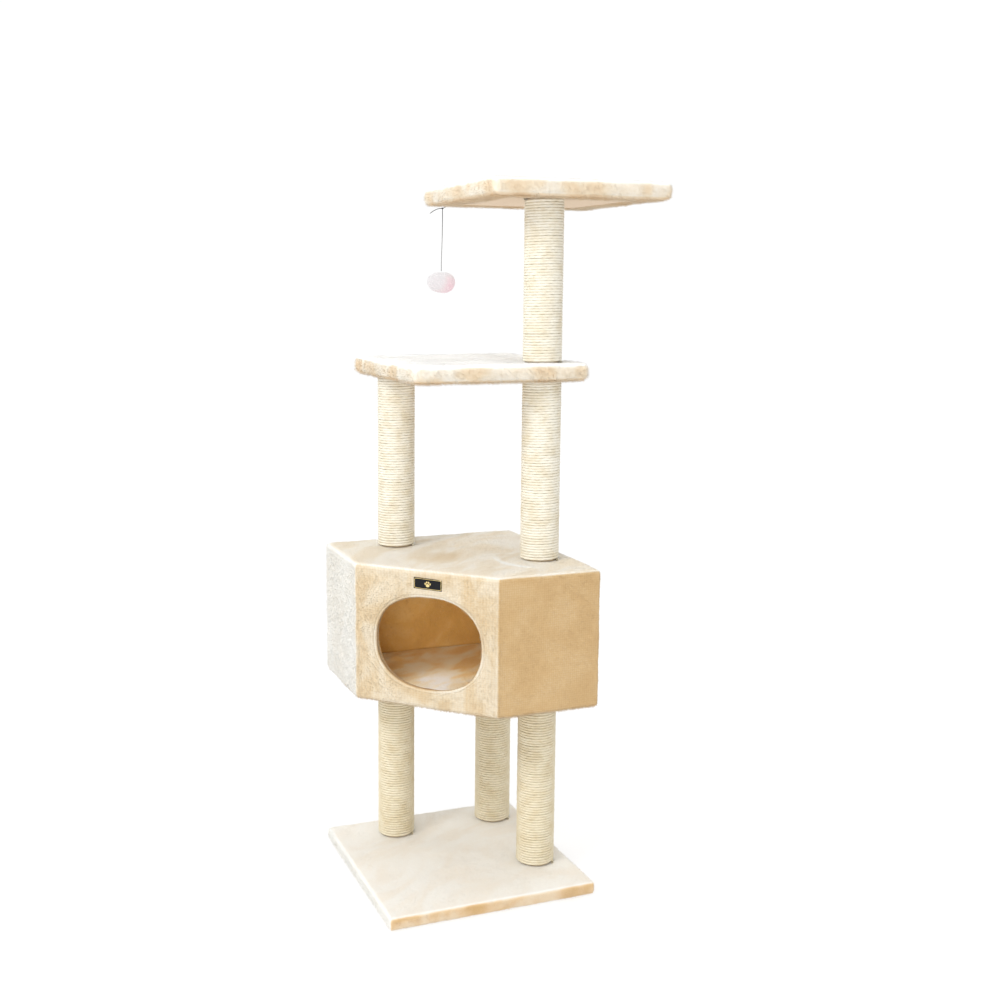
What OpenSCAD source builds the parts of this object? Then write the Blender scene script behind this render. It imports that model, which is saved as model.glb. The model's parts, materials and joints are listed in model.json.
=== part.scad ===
// Cat tree: a square base, three lower posts, a five-sided condo, two upper posts, a middle
// platform, a top post and a top platform with a hanging toy.
// Frame: the origin is the middle of the base's underside, on the floor. +X and +Y run along the
// base's edges and +Z is up. The condo's doorway faces the corner at -X, -Y. Millimetres.

/* [Overall] */
// Side of the square base and of the condo's square footprint
base_w = 404; // [396:1:430]
// Height of the condo over its plush
condo_h = 259; // [250:1:300]
// Thickness of the boards that carry posts
board_t = 16; // [14:1:18]
// Thickness of the condo's wall panels
wall_t = 12; // [10:1:15]

/* [Plush] */
// Thickness of the plush on the base and the condo
plush_t = 4.5; // [3.5:0.5:5]
// Thickness of the deeper plush on the two platforms
deep_plush_t = 7.5; // [6:0.5:9]
// Thickness of the plush that lines the condo
lining_t = 4; // [3:0.5:5]
// Width of the plush that is turned under the base and the platforms
turn_under = 45; // [35:1:50]

/* [Posts] */
// Outer radius of a post over its rope
post_r = 36.5; // [34:0.5:38]
// Diameter of the sisal rope
rope_d = 5; // [4:0.5:6]
// Wall of the cardboard tubes
tube_wall = 3.5; // [3:0.5:5]
// Length of the lower and the upper posts
post_len = 338.5; // [300:0.5:360]
// Length of the top post
top_post_len = 297; // [260:1:320]
// Distance of the far posts from the middle of the base, along each side
post_far = 137; // [125:1:140]
// Distance of the near posts from the middle of the base, towards -X or -Y
post_near = 75.5; // [70:0.5:90]

/* [Doorway] */
// Width of the doorway
door_w = 210; // [180:1:215]
// Height of the doorway
door_h = 172; // [150:1:180]
// Shift of the doorway to the right, seen from outside
door_shift = 5; // [0:1:8]
// Width of the blank label over the doorway
label_w = 56; // [40:1:70]
// Height of the label
label_h = 21; // [16:1:30]

/* [Platforms] */
// Low X and Y sides of the middle platform, from the base's middle
mid_low = [-135, -134];
// Middle platform's size along X and Y
mid_size = [342, 360];
// Low X and Y sides of the top platform
top_low = [4, -152];
// Side of the square top platform
top_w = 358; // [340:1:380]
// Radius of the corners of the base and the platforms
corner_r = 12; // [8:1:20]

/* [Toy] */
// Diameter of the toy's string
string_d = 1.4; // [1:0.1:2]
// Height of the toy's pom-pom
pompom_h = 43; // [30:1:45]
// Width of the pom-pom
pompom_w = 55; // [46:1:60]

/* [Hidden] */
$fn = 48;

// Heights of the stack, from the floor up
base_top = board_t + 2 * plush_t;
condo_z = base_top + post_len;
condo_top = condo_z + condo_h;
middle_z = condo_top + post_len;
platform_t = board_t + 2 * deep_plush_t;
top_post_z = middle_z + platform_t;
top_z = top_post_z + top_post_len;

// Boards and rooms of the condo
floor_z = condo_z + plush_t;
room_z = floor_z + board_t;
roof_z = condo_top - plush_t - board_t;
room_inset = plush_t + wall_t;
door_z = condo_z + condo_h / 2 - 7;
door_sides = 64;
door_squareness = 2.3;
trim_t = 3;
label_t = 0.8;
label_z = condo_top - 25;
label_tilt = -1;

// Posts, as [x, y, foot, length]
left_post = [-post_near, post_far];
back_post = [post_far, post_far];
right_post = [post_far, -post_near];
tube_r = post_r - rope_d;
plug_r = tube_r - tube_wall;
plug_h = 25;

// Hardware
bolt_r = 3.95;
bolt_len = 40;
bolt_hole_r = 4.5;
head_r = 7;
head_h = 5;
washer_r = 12;
washer_t = 2;
pocket_r = 14;
insert_r = 6;
insert_bore_r = 4;
insert_len = 18;
stud_grip = 18;
tee_nut_r = 11;
tee_nut_flange = 2;
tee_nut_barrel_r = 5.5;
screw_r = 2;
screw_len = 35;
screw_head_r = 4;
screw_head_h = 2.5;
staple_w = 10;
staple_t = 1;
staple_leg = 7;

// Toy: the staple's middle, the knot's centre, and the string's route down to the pom-pom
staple_place = [50, 199];
knot = [43, 199, 1284];
knot_r = 2.2;
string_route = [
    [43, 199, 1283], [43, 199, 1275], [43.1, 199, 1267], [43.1, 199, 1259], [43, 199, 1251],
    [42.9, 199, 1243], [42.8, 199, 1235], [42.6, 199, 1227], [42.4, 199, 1219],
    [42.1, 199, 1211], [41.8, 199, 1203], [41.5, 199, 1195], [41.3, 199, 1187],
    [41.1, 199, 1179], [41, 199, 1171], [41, 199, 1166], [41, 199, 1160]
];
// The short ends of the string: up from the knot to the staple, and the loose tail
stub_route = [[45.4, 199, 1285], [46.6, 199, 1285.9], [48, 199, 1286.5], [49.6, 199, 1286.8]];
tail_route = [
    [40.4, 199, 1284], [37, 199, 1283.8], [33, 199, 1282.9], [29.3, 199, 1281.6],
    [25, 199, 1279.4], [21, 199, 1277], [17.6, 199, 1274.6]
];
rings_per_step = 3;
string_sides = 8;
pompom_z = string_route[len(string_route) - 1][2] - pompom_h / 2;

// ---- Shared shapes ----

// A rectangle with round corners, from its low corner
module round_rect(size, r) {
    translate([r, 0]) square([size[0] - 2 * r, size[1]]);
    translate([0, r]) square([size[0], size[1] - 2 * r]);
    for (x = [r, size[0] - r], y = [r, size[1] - r]) translate([x, y]) circle(r);
}

// A rectangular board's space, drawn in from the outline of its plush by inset
module board_space(low, size, inset, z, h) {
    translate([low[0] + inset, low[1] + inset, z])
        linear_extrude(h) round_rect([size[0] - 2 * inset, size[1] - 2 * inset], corner_r - inset);
}

// The window in the turned-under plush, where the lining shows
module lining_window(low, size, z, h) {
    translate([low[0] + turn_under, low[1] + turn_under, z])
        cube([size[0] - 2 * turn_under, size[1] - 2 * turn_under, h]);
}

module at(places, z) {
    for (p = places) translate([p[0], p[1], z]) children();
}

// Plush wrapped round a board and turned under it
module wrapped_plush(low, size, t, z, hole_places) {
    difference() {
        board_space(low, size, 0, z, board_t + 2 * t);
        board_space(low, size, t, z + t, board_t);
        lining_window(low, size, z - 1, t + 1);
        at(hole_places, z + t) cylinder(r = bolt_hole_r, h = board_t + t + 1);
    }
}

// Corners of the condo's outline drawn in by d. The corner at -X, -Y is cut off from the middle of
// one side to the middle of the next.
function condo_outline(d) =
    let (a = base_w / 2 - d, k = d * (sqrt(2) - 1))
    [[-a, k], [-a, a], [a, a], [a, -a], [k, -a]];

module condo_slab(d, z, h) {
    translate([0, 0, z]) linear_extrude(h) polygon(condo_outline(d));
}

module condo_ring(d_out, d_in, z, h) {
    difference() {
        condo_slab(d_out, z, h);
        condo_slab(d_in, z - 1, h + 2);
    }
}

// One wall between two corners of the outline, with mitred ends
module condo_wall(i) {
    outer = condo_outline(plush_t);
    inner = condo_outline(room_inset);
    j = (i + 1) % 5;
    translate([0, 0, room_z]) linear_extrude(roof_z - room_z)
        polygon([outer[i], outer[j], inner[j], inner[i]]);
}

// The door face's own frame: X to the right seen from outside, Y inwards, Z up
module on_door() {
    translate([-base_w / 4, -base_w / 4, 0]) rotate([0, 0, -45]) children();
}

// The doorway is a soft-cornered oval, a superellipse
function door_outline(grow) = [
    for (i = [0:door_sides - 1])
        let (a = 360 * i / door_sides, c = cos(a), s = sin(a), e = 2 / door_squareness)
        [(door_w / 2 + grow) * sign(c) * pow(abs(c), e),
         (door_h / 2 + grow) * sign(s) * pow(abs(s), e)]
];

// The doorway's shape pushed through from y0 outside to y1 inside
module door_hole(grow, y0, y1) {
    on_door() translate([door_shift, y1, door_z]) rotate([90, 0, 0])
        linear_extrude(y1 - y0) polygon(door_outline(grow));
}

// ---- Posts ----

module tube(p, z, len) {
    color("burlywood") translate([p[0], p[1], z]) difference() {
        cylinder(r = tube_r, h = len);
        translate([0, 0, -1]) cylinder(r = plug_r, h = len + 2);
    }
}

module rope(p, z, len) {
    color("ivory") translate([p[0], p[1], z]) difference() {
        cylinder(r = post_r, h = len);
        translate([0, 0, -1]) cylinder(r = tube_r, h = len + 2);
    }
}

// The two end plugs of a post, each with a pocket for its threaded insert
module plugs(p, z, len) {
    color("tan") translate([p[0], p[1], z]) {
        plug();
        translate([0, 0, len]) mirror([0, 0, 1]) plug();
    }
}

module plug() {
    difference() {
        cylinder(r = plug_r, h = plug_h);
        translate([0, 0, -1]) cylinder(r = bolt_hole_r, h = plug_h + 2);
        translate([0, 0, -1]) cylinder(r = insert_r, h = insert_len + 1);
    }
}

module insert() {
    difference() {
        cylinder(r = insert_r, h = insert_len);
        translate([0, 0, -1]) cylinder(r = insert_bore_r, h = insert_len + 2);
    }
}

module inserts_of_post(p, z, len) {
    translate([p[0], p[1], z]) {
        insert();
        translate([0, 0, len]) mirror([0, 0, 1]) insert();
    }
}

module threaded_inserts() {
    color("goldenrod") {
        for (p = [left_post, back_post, right_post]) inserts_of_post(p, base_top, post_len);
        for (p = [left_post, right_post]) inserts_of_post(p, condo_top, post_len);
        inserts_of_post(right_post, top_post_z, top_post_len);
    }
}

// A wire staple over the last turn of rope, its legs through the rope into the tube
module staple() {
    for (y = [-staple_w / 2, staple_w / 2 - staple_t])
        translate([post_r - staple_leg, y, 0]) cube([staple_leg, staple_t, staple_t]);
    translate([post_r, -staple_w / 2, 0]) cube([staple_t, staple_w, staple_t]);
}

module staples_of_post(p, z, len) {
    translate([p[0], p[1], z]) for (h = [rope_d / 2, len - rope_d / 2])
        translate([0, 0, h]) rotate([0, 0, h < len / 2 ? -30 : 150]) staple();
}

module rope_staples() {
    color("silver") {
        for (p = [left_post, back_post, right_post]) staples_of_post(p, base_top, post_len);
        for (p = [left_post, right_post]) staples_of_post(p, condo_top, post_len);
        staples_of_post(right_post, top_post_z, top_post_len);
    }
}

// ---- Hardware ----

// A bolt with its head's top at z = 0 and its shank up
module bolt() {
    cylinder(r = head_r, h = head_h);
    cylinder(r = bolt_r, h = head_h + bolt_len);
}

module washer() {
    difference() {
        cylinder(r = washer_r, h = washer_t);
        translate([0, 0, -1]) cylinder(r = bolt_hole_r, h = washer_t + 2);
    }
}

lower_posts = [left_post, back_post, right_post];
upper_posts = [left_post, right_post];
base_pocket_h = 8;
base_washer_z = plush_t + base_pocket_h - washer_t;

module base_bolts() {
    color("silver") at(lower_posts, base_washer_z - head_h) bolt();
}

module base_washers() {
    color("lightgray") at(lower_posts, base_washer_z) washer();
}

module condo_floor_bolts() {
    color("silver") at(lower_posts, room_z + washer_t + head_h) mirror([0, 0, 1]) bolt();
}

module condo_roof_bolts() {
    color("silver") at(upper_posts, roof_z - washer_t - head_h) bolt();
}

module condo_washers() {
    color("lightgray") {
        at(lower_posts, room_z) washer();
        at(upper_posts, roof_z - washer_t) washer();
    }
}

// The stud that joins the upper right post to the top post through the middle board
module joining_stud() {
    color("silver") at([right_post], middle_z - stud_grip)
        cylinder(r = bolt_r, h = platform_t + 2 * stud_grip);
}

stud_len = stud_grip + deep_plush_t + board_t - tee_nut_flange;

// Studs that hold the middle and the top platform on their posts
module platform_studs() {
    color("silver") {
        at([left_post], middle_z - stud_grip) cylinder(r = bolt_r, h = stud_len);
        at([right_post], top_z - stud_grip) cylinder(r = bolt_r, h = stud_len);
    }
}

module tee_nut() {
    difference() {
        union() {
            cylinder(r = tee_nut_barrel_r, h = board_t);
            translate([0, 0, board_t - tee_nut_flange])
                cylinder(r = tee_nut_r, h = tee_nut_flange);
        }
        translate([0, 0, -1]) cylinder(r = insert_bore_r, h = board_t + 2);
    }
}

module tee_nut_pocket() {
    cylinder(r = tee_nut_barrel_r, h = board_t);
    translate([0, 0, board_t - tee_nut_flange]) cylinder(r = tee_nut_r, h = tee_nut_flange + 1);
}

module tee_nuts() {
    color("lightgray") {
        at([left_post], middle_z + deep_plush_t) tee_nut();
        at([right_post], top_z + deep_plush_t) tee_nut();
    }
}

// Places of the screws along each condo wall, as [x, y]
function wall_screws(i) =
    let (ring = condo_outline(plush_t + wall_t / 2), a = ring[i], b = ring[(i + 1) % 5])
    [for (share = [0.22, 0.78]) a + share * (b - a)];
screw_places = [for (i = [0:4]) each wall_screws(i)];

// A countersunk screw, its head's top at z = 0 and its shank down
module screw() {
    translate([0, 0, -screw_len]) cylinder(r = screw_r, h = screw_len);
    translate([0, 0, -screw_head_h]) cylinder(r1 = screw_r, r2 = screw_head_r, h = screw_head_h);
}

module all_screws() {
    at(screw_places, roof_z + board_t) screw();
    at(screw_places, floor_z) mirror([0, 0, 1]) screw();
}

module condo_screws() {
    color("dimgray") all_screws();
}

// ---- Base ----

base_low = [-base_w / 2, -base_w / 2];
base_size = [base_w, base_w];

module base_board() {
    color("peru") difference() {
        board_space(base_low, base_size, plush_t, plush_t, board_t);
        at(lower_posts, plush_t - 1) cylinder(r = pocket_r, h = base_pocket_h + 1);
        at(lower_posts, 0) cylinder(r = bolt_hole_r, h = base_top);
    }
}

module base_plush() {
    color("wheat") wrapped_plush(base_low, base_size, plush_t, 0, lower_posts);
}

module base_lining() {
    color("dimgray") difference() {
        lining_window(base_low, base_size, 0, plush_t);
        at(lower_posts, -1) cylinder(r = pocket_r, h = plush_t + 2);
    }
}

// ---- Condo ----

module condo_floor() {
    color("peru") difference() {
        condo_slab(plush_t, floor_z, board_t);
        at(lower_posts, floor_z - 1) cylinder(r = bolt_hole_r, h = board_t + 2);
        all_screws();
    }
}

module condo_roof() {
    color("peru") difference() {
        condo_slab(plush_t, roof_z, board_t);
        at(upper_posts, roof_z - 1) cylinder(r = bolt_hole_r, h = board_t + 2);
        all_screws();
    }
}

module screwed_wall(i) {
    color("burlywood") difference() {
        condo_wall(i);
        all_screws();
    }
}

module condo_left_wall() { screwed_wall(0); }
module condo_back_wall() { screwed_wall(1); }
module condo_far_wall() { screwed_wall(2); }
module condo_right_wall() { screwed_wall(3); }

module condo_door_wall() {
    difference() {
        screwed_wall(4);
        door_hole(trim_t, -1, room_inset + 1);
    }
}

module condo_wall_plush() {
    color("wheat") difference() {
        condo_ring(0, plush_t, condo_z, condo_h);
        door_hole(trim_t, -1, plush_t + 1);
    }
}

module condo_roof_plush() {
    color("tan") difference() {
        condo_slab(plush_t, condo_top - plush_t, plush_t);
        at(upper_posts, condo_top - plush_t - 1) cylinder(r = bolt_hole_r, h = plush_t + 2);
    }
}

module condo_under_plush() {
    color("tan") difference() {
        condo_slab(plush_t, condo_z, plush_t);
        at(lower_posts, condo_z - 1) cylinder(r = bolt_hole_r, h = plush_t + 2);
    }
}

module condo_lining() {
    color("peru") difference() {
        condo_ring(room_inset, room_inset + lining_t, room_z + lining_t,
                   roof_z - room_z - 2 * lining_t);
        door_hole(trim_t, room_inset - 1, room_inset + lining_t + 1);
    }
}

module condo_floor_plush() {
    color("wheat") difference() {
        condo_slab(room_inset, room_z, lining_t);
        at(lower_posts, room_z - 1) cylinder(r = pocket_r, h = lining_t + 2);
    }
}

module condo_ceiling_plush() {
    color("peru") difference() {
        condo_slab(room_inset, roof_z - lining_t, lining_t);
        at(upper_posts, roof_z - lining_t - 1) cylinder(r = pocket_r, h = lining_t + 2);
    }
}

// The plush turned through the doorway, over the edges of the panel and both plush layers
module door_trim() {
    color("wheat") difference() {
        door_hole(trim_t, 0, room_inset + lining_t);
        door_hole(0, -1, room_inset + lining_t + 1);
    }
}

module condo_label() {
    color("black") on_door() translate([door_shift, 0, label_z]) rotate([0, label_tilt, 0])
        translate([-label_w / 2, -label_t, -label_h / 2]) cube([label_w, label_t, label_h]);
}

// ---- Platforms ----

module middle_board() {
    color("peru") difference() {
        board_space(mid_low, mid_size, deep_plush_t, middle_z + deep_plush_t, board_t);
        at([left_post], middle_z + deep_plush_t) tee_nut_pocket();
        at([right_post], middle_z) cylinder(r = bolt_hole_r, h = platform_t);
    }
}

module middle_plush() {
    color("wheat") wrapped_plush(mid_low, mid_size, deep_plush_t, middle_z, [right_post]);
}

module middle_lining() {
    color("beige") difference() {
        lining_window(mid_low, mid_size, middle_z, deep_plush_t);
        at(upper_posts, middle_z - 1) cylinder(r = bolt_hole_r, h = deep_plush_t + 2);
    }
}

top_size = [top_w, top_w];

module top_board() {
    color("peru") difference() {
        board_space(top_low, top_size, deep_plush_t, top_z + deep_plush_t, board_t);
        at([right_post], top_z + deep_plush_t) tee_nut_pocket();
    }
}

module top_plush() {
    color("wheat") wrapped_plush(top_low, top_size, deep_plush_t, top_z, []);
}

module top_lining() {
    color("beige") difference() {
        lining_window(top_low, top_size, top_z, deep_plush_t);
        at([right_post], top_z - 1) cylinder(r = bolt_hole_r, h = deep_plush_t + 2);
    }
}

// ---- Toy ----

// The staple that holds the string's end under the top platform's turned-under plush
module toy_staple() {
    color("silver") translate([staple_place[0], staple_place[1], top_z - staple_t])
        translate([-staple_w / 2, -staple_t / 2, 0]) {
            cube([staple_w, staple_t, staple_t]);
            for (x = [0, staple_w - staple_t])
                translate([x, 0, 0]) cube([staple_t, staple_t, staple_t + staple_leg]);
        }
}

// A point on the smooth curve through four route points, t of the way from b to c
function spline(a, b, c, d, t) =
    0.5 * (2 * b + (c - a) * t + (2 * a - 5 * b + 4 * c - d) * t * t
           + (3 * b - a - 3 * c + d) * t * t * t);
function pick(route, i) = route[max(0, min(len(route) - 1, i))];
function smooth(route, steps) = [
    for (i = [0:len(route) - 2], k = [0:steps - 1])
        spline(pick(route, i - 1), route[i], route[i + 1], pick(route, i + 2), k / steps),
    route[len(route) - 1]
];

// A round cord swept along a path: a ring of points square to the path at each of its points
function unit(v) = v / norm(v);
function heading(path, i) = unit(pick(path, i + 1) - pick(path, i - 1));
function ring(path, i, r, side) =
    let (h = heading(path, i), u = unit(cross(h, side)), w = cross(h, u))
    [for (k = [0:string_sides - 1])
        path[i] + r * (cos(360 * k / string_sides) * u + sin(360 * k / string_sides) * w)];

module cord(path, r, side) {
    n = string_sides;
    last = len(path) - 1;
    polyhedron(
        points = [for (i = [0:last]) each ring(path, i, r, side)],
        faces = [
            [for (k = [0:n - 1]) k],
            [for (k = [n - 1:-1:0]) last * n + k],
            for (i = [0:last - 1], k = [0:n - 1])
                [i * n + k, (i + 1) * n + k, (i + 1) * n + (k + 1) % n, i * n + (k + 1) % n]
        ]
    );
}

// The string's short ends either side of the knot
module toy_string_ends() {
    color("dimgray") {
        cord(smooth(stub_route, rings_per_step), string_d / 2, [0, 1, 0]);
        cord(smooth(tail_route, rings_per_step), string_d / 2, [0, 1, 0]);
    }
}

module toy_knot() {
    color("dimgray") translate(knot) sphere(knot_r);
}

module toy_string() {
    color("dimgray") cord(smooth(string_route, rings_per_step), string_d / 2, [0, 1, 0]);
}

module toy_pompom() {
    pompom_end = string_route[len(string_route) - 1];
    color("mistyrose") translate([pompom_end[0], pompom_end[1], pompom_z]) rotate_extrude()
        intersection() {
            union() {
                translate([(pompom_w - pompom_h) / 2, 0]) circle(pompom_h / 2);
                translate([0, -pompom_h / 2]) square([(pompom_w - pompom_h) / 2, pompom_h]);
            }
            translate([0, -pompom_h]) square([pompom_w, 2 * pompom_h]);
        }
}

base_board();
base_plush();
base_lining();
base_bolts();
base_washers();
tube(left_post, base_top, post_len);  // lower_left_tube
rope(left_post, base_top, post_len);  // lower_left_rope
plugs(left_post, base_top, post_len);  // lower_left_plugs
tube(back_post, base_top, post_len);  // lower_back_tube
rope(back_post, base_top, post_len);  // lower_back_rope
plugs(back_post, base_top, post_len);  // lower_back_plugs
tube(right_post, base_top, post_len);  // lower_right_tube
rope(right_post, base_top, post_len);  // lower_right_rope
plugs(right_post, base_top, post_len);  // lower_right_plugs
tube(left_post, condo_top, post_len);  // upper_left_tube
rope(left_post, condo_top, post_len);  // upper_left_rope
plugs(left_post, condo_top, post_len);  // upper_left_plugs
tube(right_post, condo_top, post_len);  // upper_right_tube
rope(right_post, condo_top, post_len);  // upper_right_rope
plugs(right_post, condo_top, post_len);  // upper_right_plugs
tube(right_post, top_post_z, top_post_len);  // top_post_tube
rope(right_post, top_post_z, top_post_len);  // top_post_rope
plugs(right_post, top_post_z, top_post_len);  // top_post_plugs
threaded_inserts();
rope_staples();
condo_floor();
condo_roof();
condo_left_wall();
condo_back_wall();
condo_far_wall();
condo_right_wall();
condo_door_wall();
condo_screws();
condo_wall_plush();
condo_roof_plush();
condo_under_plush();
condo_lining();
condo_floor_plush();
condo_ceiling_plush();
door_trim();
condo_label();
condo_floor_bolts();
condo_roof_bolts();
condo_washers();
middle_board();
middle_plush();
middle_lining();
top_board();
top_plush();
top_lining();
joining_stud();
platform_studs();
tee_nuts();
toy_staple();
toy_string_ends();
toy_knot();
toy_string();
toy_pompom();
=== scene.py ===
"""Cat tree: the visual model over the CAD frame. Metres, +Z up, origin under the middle of the base."""

import itertools
import json
import math

import bpy
import numpy as np
from mathutils import Matrix, Vector


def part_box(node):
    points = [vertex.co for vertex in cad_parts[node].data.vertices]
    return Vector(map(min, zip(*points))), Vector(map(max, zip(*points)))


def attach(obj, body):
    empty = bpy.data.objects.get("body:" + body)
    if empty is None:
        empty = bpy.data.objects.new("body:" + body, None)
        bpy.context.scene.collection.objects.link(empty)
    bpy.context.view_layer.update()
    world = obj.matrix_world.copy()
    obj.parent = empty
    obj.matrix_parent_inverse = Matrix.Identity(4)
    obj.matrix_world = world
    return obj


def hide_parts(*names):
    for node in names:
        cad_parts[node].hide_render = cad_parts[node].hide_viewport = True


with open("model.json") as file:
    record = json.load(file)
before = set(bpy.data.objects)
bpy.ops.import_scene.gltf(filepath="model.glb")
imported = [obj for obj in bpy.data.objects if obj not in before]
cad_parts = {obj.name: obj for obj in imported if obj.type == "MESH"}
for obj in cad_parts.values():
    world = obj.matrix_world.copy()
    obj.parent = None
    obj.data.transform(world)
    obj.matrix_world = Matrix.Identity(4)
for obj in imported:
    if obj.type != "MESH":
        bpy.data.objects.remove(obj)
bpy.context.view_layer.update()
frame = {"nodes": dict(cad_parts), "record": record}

TREE, TOY = "tree", "toy"
MM = 0.001

# ---- Sizes read from the frame ----

BASE_LOW, BASE_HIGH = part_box("base_plush")
MIDDLE_LOW, MIDDLE_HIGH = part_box("middle_plush")
TOP_LOW, TOP_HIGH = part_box("top_plush")
CONDO_LOW, CONDO_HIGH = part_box("condo_wall_plush")
LINING_LOW, LINING_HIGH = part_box("condo_lining")
HALF = CONDO_HIGH.x
PLUSH = CONDO_HIGH.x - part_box("condo_roof")[1].x
DEEP_PLUSH = TOP_HIGH.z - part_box("top_board")[1].z
ROOM_INSET = HALF - LINING_HIGH.x
LINING = LINING_LOW.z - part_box("condo_floor_plush")[0].z
POSTS = ("lower_left", "lower_back", "lower_right", "upper_left", "upper_right", "top_post")

# The doorway, an oval in the face towards -X, -Y
DOOR_SHIFT = 5 * MM
DOOR_HALF_W, DOOR_HALF_H = 105 * MM, 86 * MM
DOOR_SQUARENESS = 2.3
DOOR_LOW, DOOR_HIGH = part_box("door_trim")
DOOR_Z = (DOOR_LOW.z + DOOR_HIGH.z) / 2
DOOR_RIGHT = np.array([1, -1, 0]) / math.sqrt(2)
DOOR_OUT = np.array([-1, -1, 0]) / math.sqrt(2)
DOOR_FACE = np.array([-HALF / 2, -HALF / 2, 0])

# Plush skins lie this far inside the CAD outline, because the pile stands on them
SKIN_IN, DEEP_SKIN_IN = 0.4 * MM, 0.3 * MM

CONDO_CORNERS = np.array([[0, -HALF], [HALF, -HALF], [HALF, HALF], [-HALF, HALF], [-HALF, 0]])
DOOR_EDGE = 4

# ---- Camera, light and floor ----

CAMERA_PLACE = (-0.8578, -2.1692, 1.1297)
CAMERA_TURNS = (("Z", -20.65), ("X", 90 - 7.5), ("Z", 0.24))
WARM_WHITE = (1.0, 0.985, 0.96)


def make_camera():
    data = bpy.data.cameras.new("camera")
    data.sensor_width = 36
    data.lens = 44.96
    data.shift_x, data.shift_y = 0.0624, -0.0491
    camera = bpy.data.objects.new("camera", data)
    pose = Matrix.Translation(CAMERA_PLACE)
    for axis, degrees in CAMERA_TURNS:
        pose = pose @ Matrix.Rotation(math.radians(degrees), 4, axis)
    camera.matrix_world = pose
    bpy.context.scene.collection.objects.link(camera)
    bpy.context.scene.camera = camera


def area_light(name, place, target, size, power, colour):
    data = bpy.data.lights.new(name, "AREA")
    data.size, data.energy, data.color = size, power, colour
    light = bpy.data.objects.new(name, data)
    light.location = place
    aim = Vector(target) - Vector(place)
    light.rotation_euler = aim.to_track_quat("-Z", "Y").to_euler()
    light.visible_camera = False
    bpy.context.scene.collection.objects.link(light)


def make_world():
    """A white backdrop behind the object, and a soft sky that is brighter overhead."""
    world = bpy.data.worlds.new("studio")
    world.use_nodes = True
    tree = world.node_tree
    split = tree.nodes.new("ShaderNodeSeparateXYZ")
    direction = tree.nodes.new("ShaderNodeTexCoord").outputs["Generated"]
    tree.links.new(direction, split.inputs["Vector"])
    backdrop = range_node(tree, split.outputs["Y"], (-0.1, 0.5), (0.42, 1.03))
    sky = range_node(tree, split.outputs["Z"], (0.0, 1.0), (0.5, 1.5))
    shader = tree.nodes["Background"]
    tree.links.new(math_node(tree, "MAXIMUM", backdrop, sky), shader.inputs["Strength"])
    shader.inputs["Color"].default_value = (1.0, 1.0, 1.0, 1)
    bpy.context.scene.world = world
    bpy.context.scene.view_settings.view_transform = "Standard"


def make_lights():
    area_light("key", (-2.5, -1.2, 2.9), (0, 0, 0.75), 1.0, 46, WARM_WHITE)
    in_room = (0.02, 0.02, CONDO_HIGH.z - 45 * MM)
    area_light("room", in_room, (0.02, 0.02, 0), 0.2, 0.075, (1.0, 0.95, 0.87))
    area_light("front", (-1.25, -2.35, 0.95), (0, 0, 0.55), 0.8, 18, WARM_WHITE)


def make_floor():
    half = 8.0
    corners = np.array([[-half, -half, 0], [half, -half, 0], [half, half, 0], [-half, half, 0]])
    paint_coat = glowing_material("floor_paint", (0.3, 0.3, 0.3), (1.0, 1.0, 1.0), 0.65, 0.7)
    floor = make_object("floor", corners, [np.array([[0, 1, 2, 3]])], paint_coat)
    floor.location.z = -0.5 * MM


# ---- Shared tools ----

LATTICE = np.random.default_rng(11).uniform(-1, 1, (64, 64, 64))


def smooth_noise(points, size, shift=0.0):
    """Noise from about -1 to 1 that changes over a distance of size."""
    place = np.asarray(points) / size + shift
    cell = np.floor(place).astype(int)
    share = place - cell
    share = share * share * (3 - 2 * share)
    total = np.zeros(len(place))
    for corner in itertools.product((0, 1), repeat=3):
        weight = np.prod(np.where(np.array(corner) == 1, share, 1 - share), axis=1)
        x, y, z = ((cell + corner) & 63).T
        total += weight * LATTICE[x, y, z]
    return total


def make_object(name, points, face_groups, *materials, uvs=None, tones=None):
    """A mesh object from points and arrays of faces, one array for each number of corners. tones
    says which of its materials each face has."""
    mesh = bpy.data.meshes.new(name)
    mesh.vertices.add(len(points))
    mesh.vertices.foreach_set("co", np.asarray(points, np.float32).ravel())
    corners = np.concatenate([faces.ravel() for faces in face_groups])
    sizes = np.concatenate([np.full(len(faces), faces.shape[1]) for faces in face_groups])
    mesh.loops.add(len(corners))
    mesh.loops.foreach_set("vertex_index", corners.astype(np.int32))
    mesh.polygons.add(len(sizes))
    mesh.polygons.foreach_set("loop_start", np.concatenate([[0], np.cumsum(sizes)[:-1]]))
    if tones is not None:
        mesh.polygons.foreach_set("material_index", tones.astype(np.int32))
    mesh.polygons.foreach_set("use_smooth", np.ones(len(sizes), bool))
    if uvs is not None:
        layer = mesh.uv_layers.new(name="lay")
        layer.data.foreach_set("uv", uvs.astype(np.float32).ravel())
    mesh.update(calc_edges=True)
    for material in materials:
        mesh.materials.append(material)
    thing = bpy.data.objects.new(name, mesh)
    bpy.context.scene.collection.objects.link(thing)
    return thing


def point_normals(points, quads):
    a, b, c, d = (points[quads[:, k]] for k in range(4))
    face = np.cross(c - a, d - b)
    normals = np.zeros_like(points)
    for k in range(4):
        np.add.at(normals, quads[:, k], face)
    return unit(normals)


def unit(vectors):
    return vectors / np.maximum(np.linalg.norm(vectors, axis=-1, keepdims=True), 1e-12)


def put_on(thing, body, slot, *nodes):
    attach(thing, body)
    if nodes:
        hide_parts(*nodes)


def clad(thing, furs, slot, nodes, flat, rests_on, **more):
    """Puts a cover and what stands on it on the tree, and hides the CAD nodes it takes the place of."""
    put_on(thing, TREE, slot, *nodes)
    for fur in furs:
        put_on(fur, TREE, slot)


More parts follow.
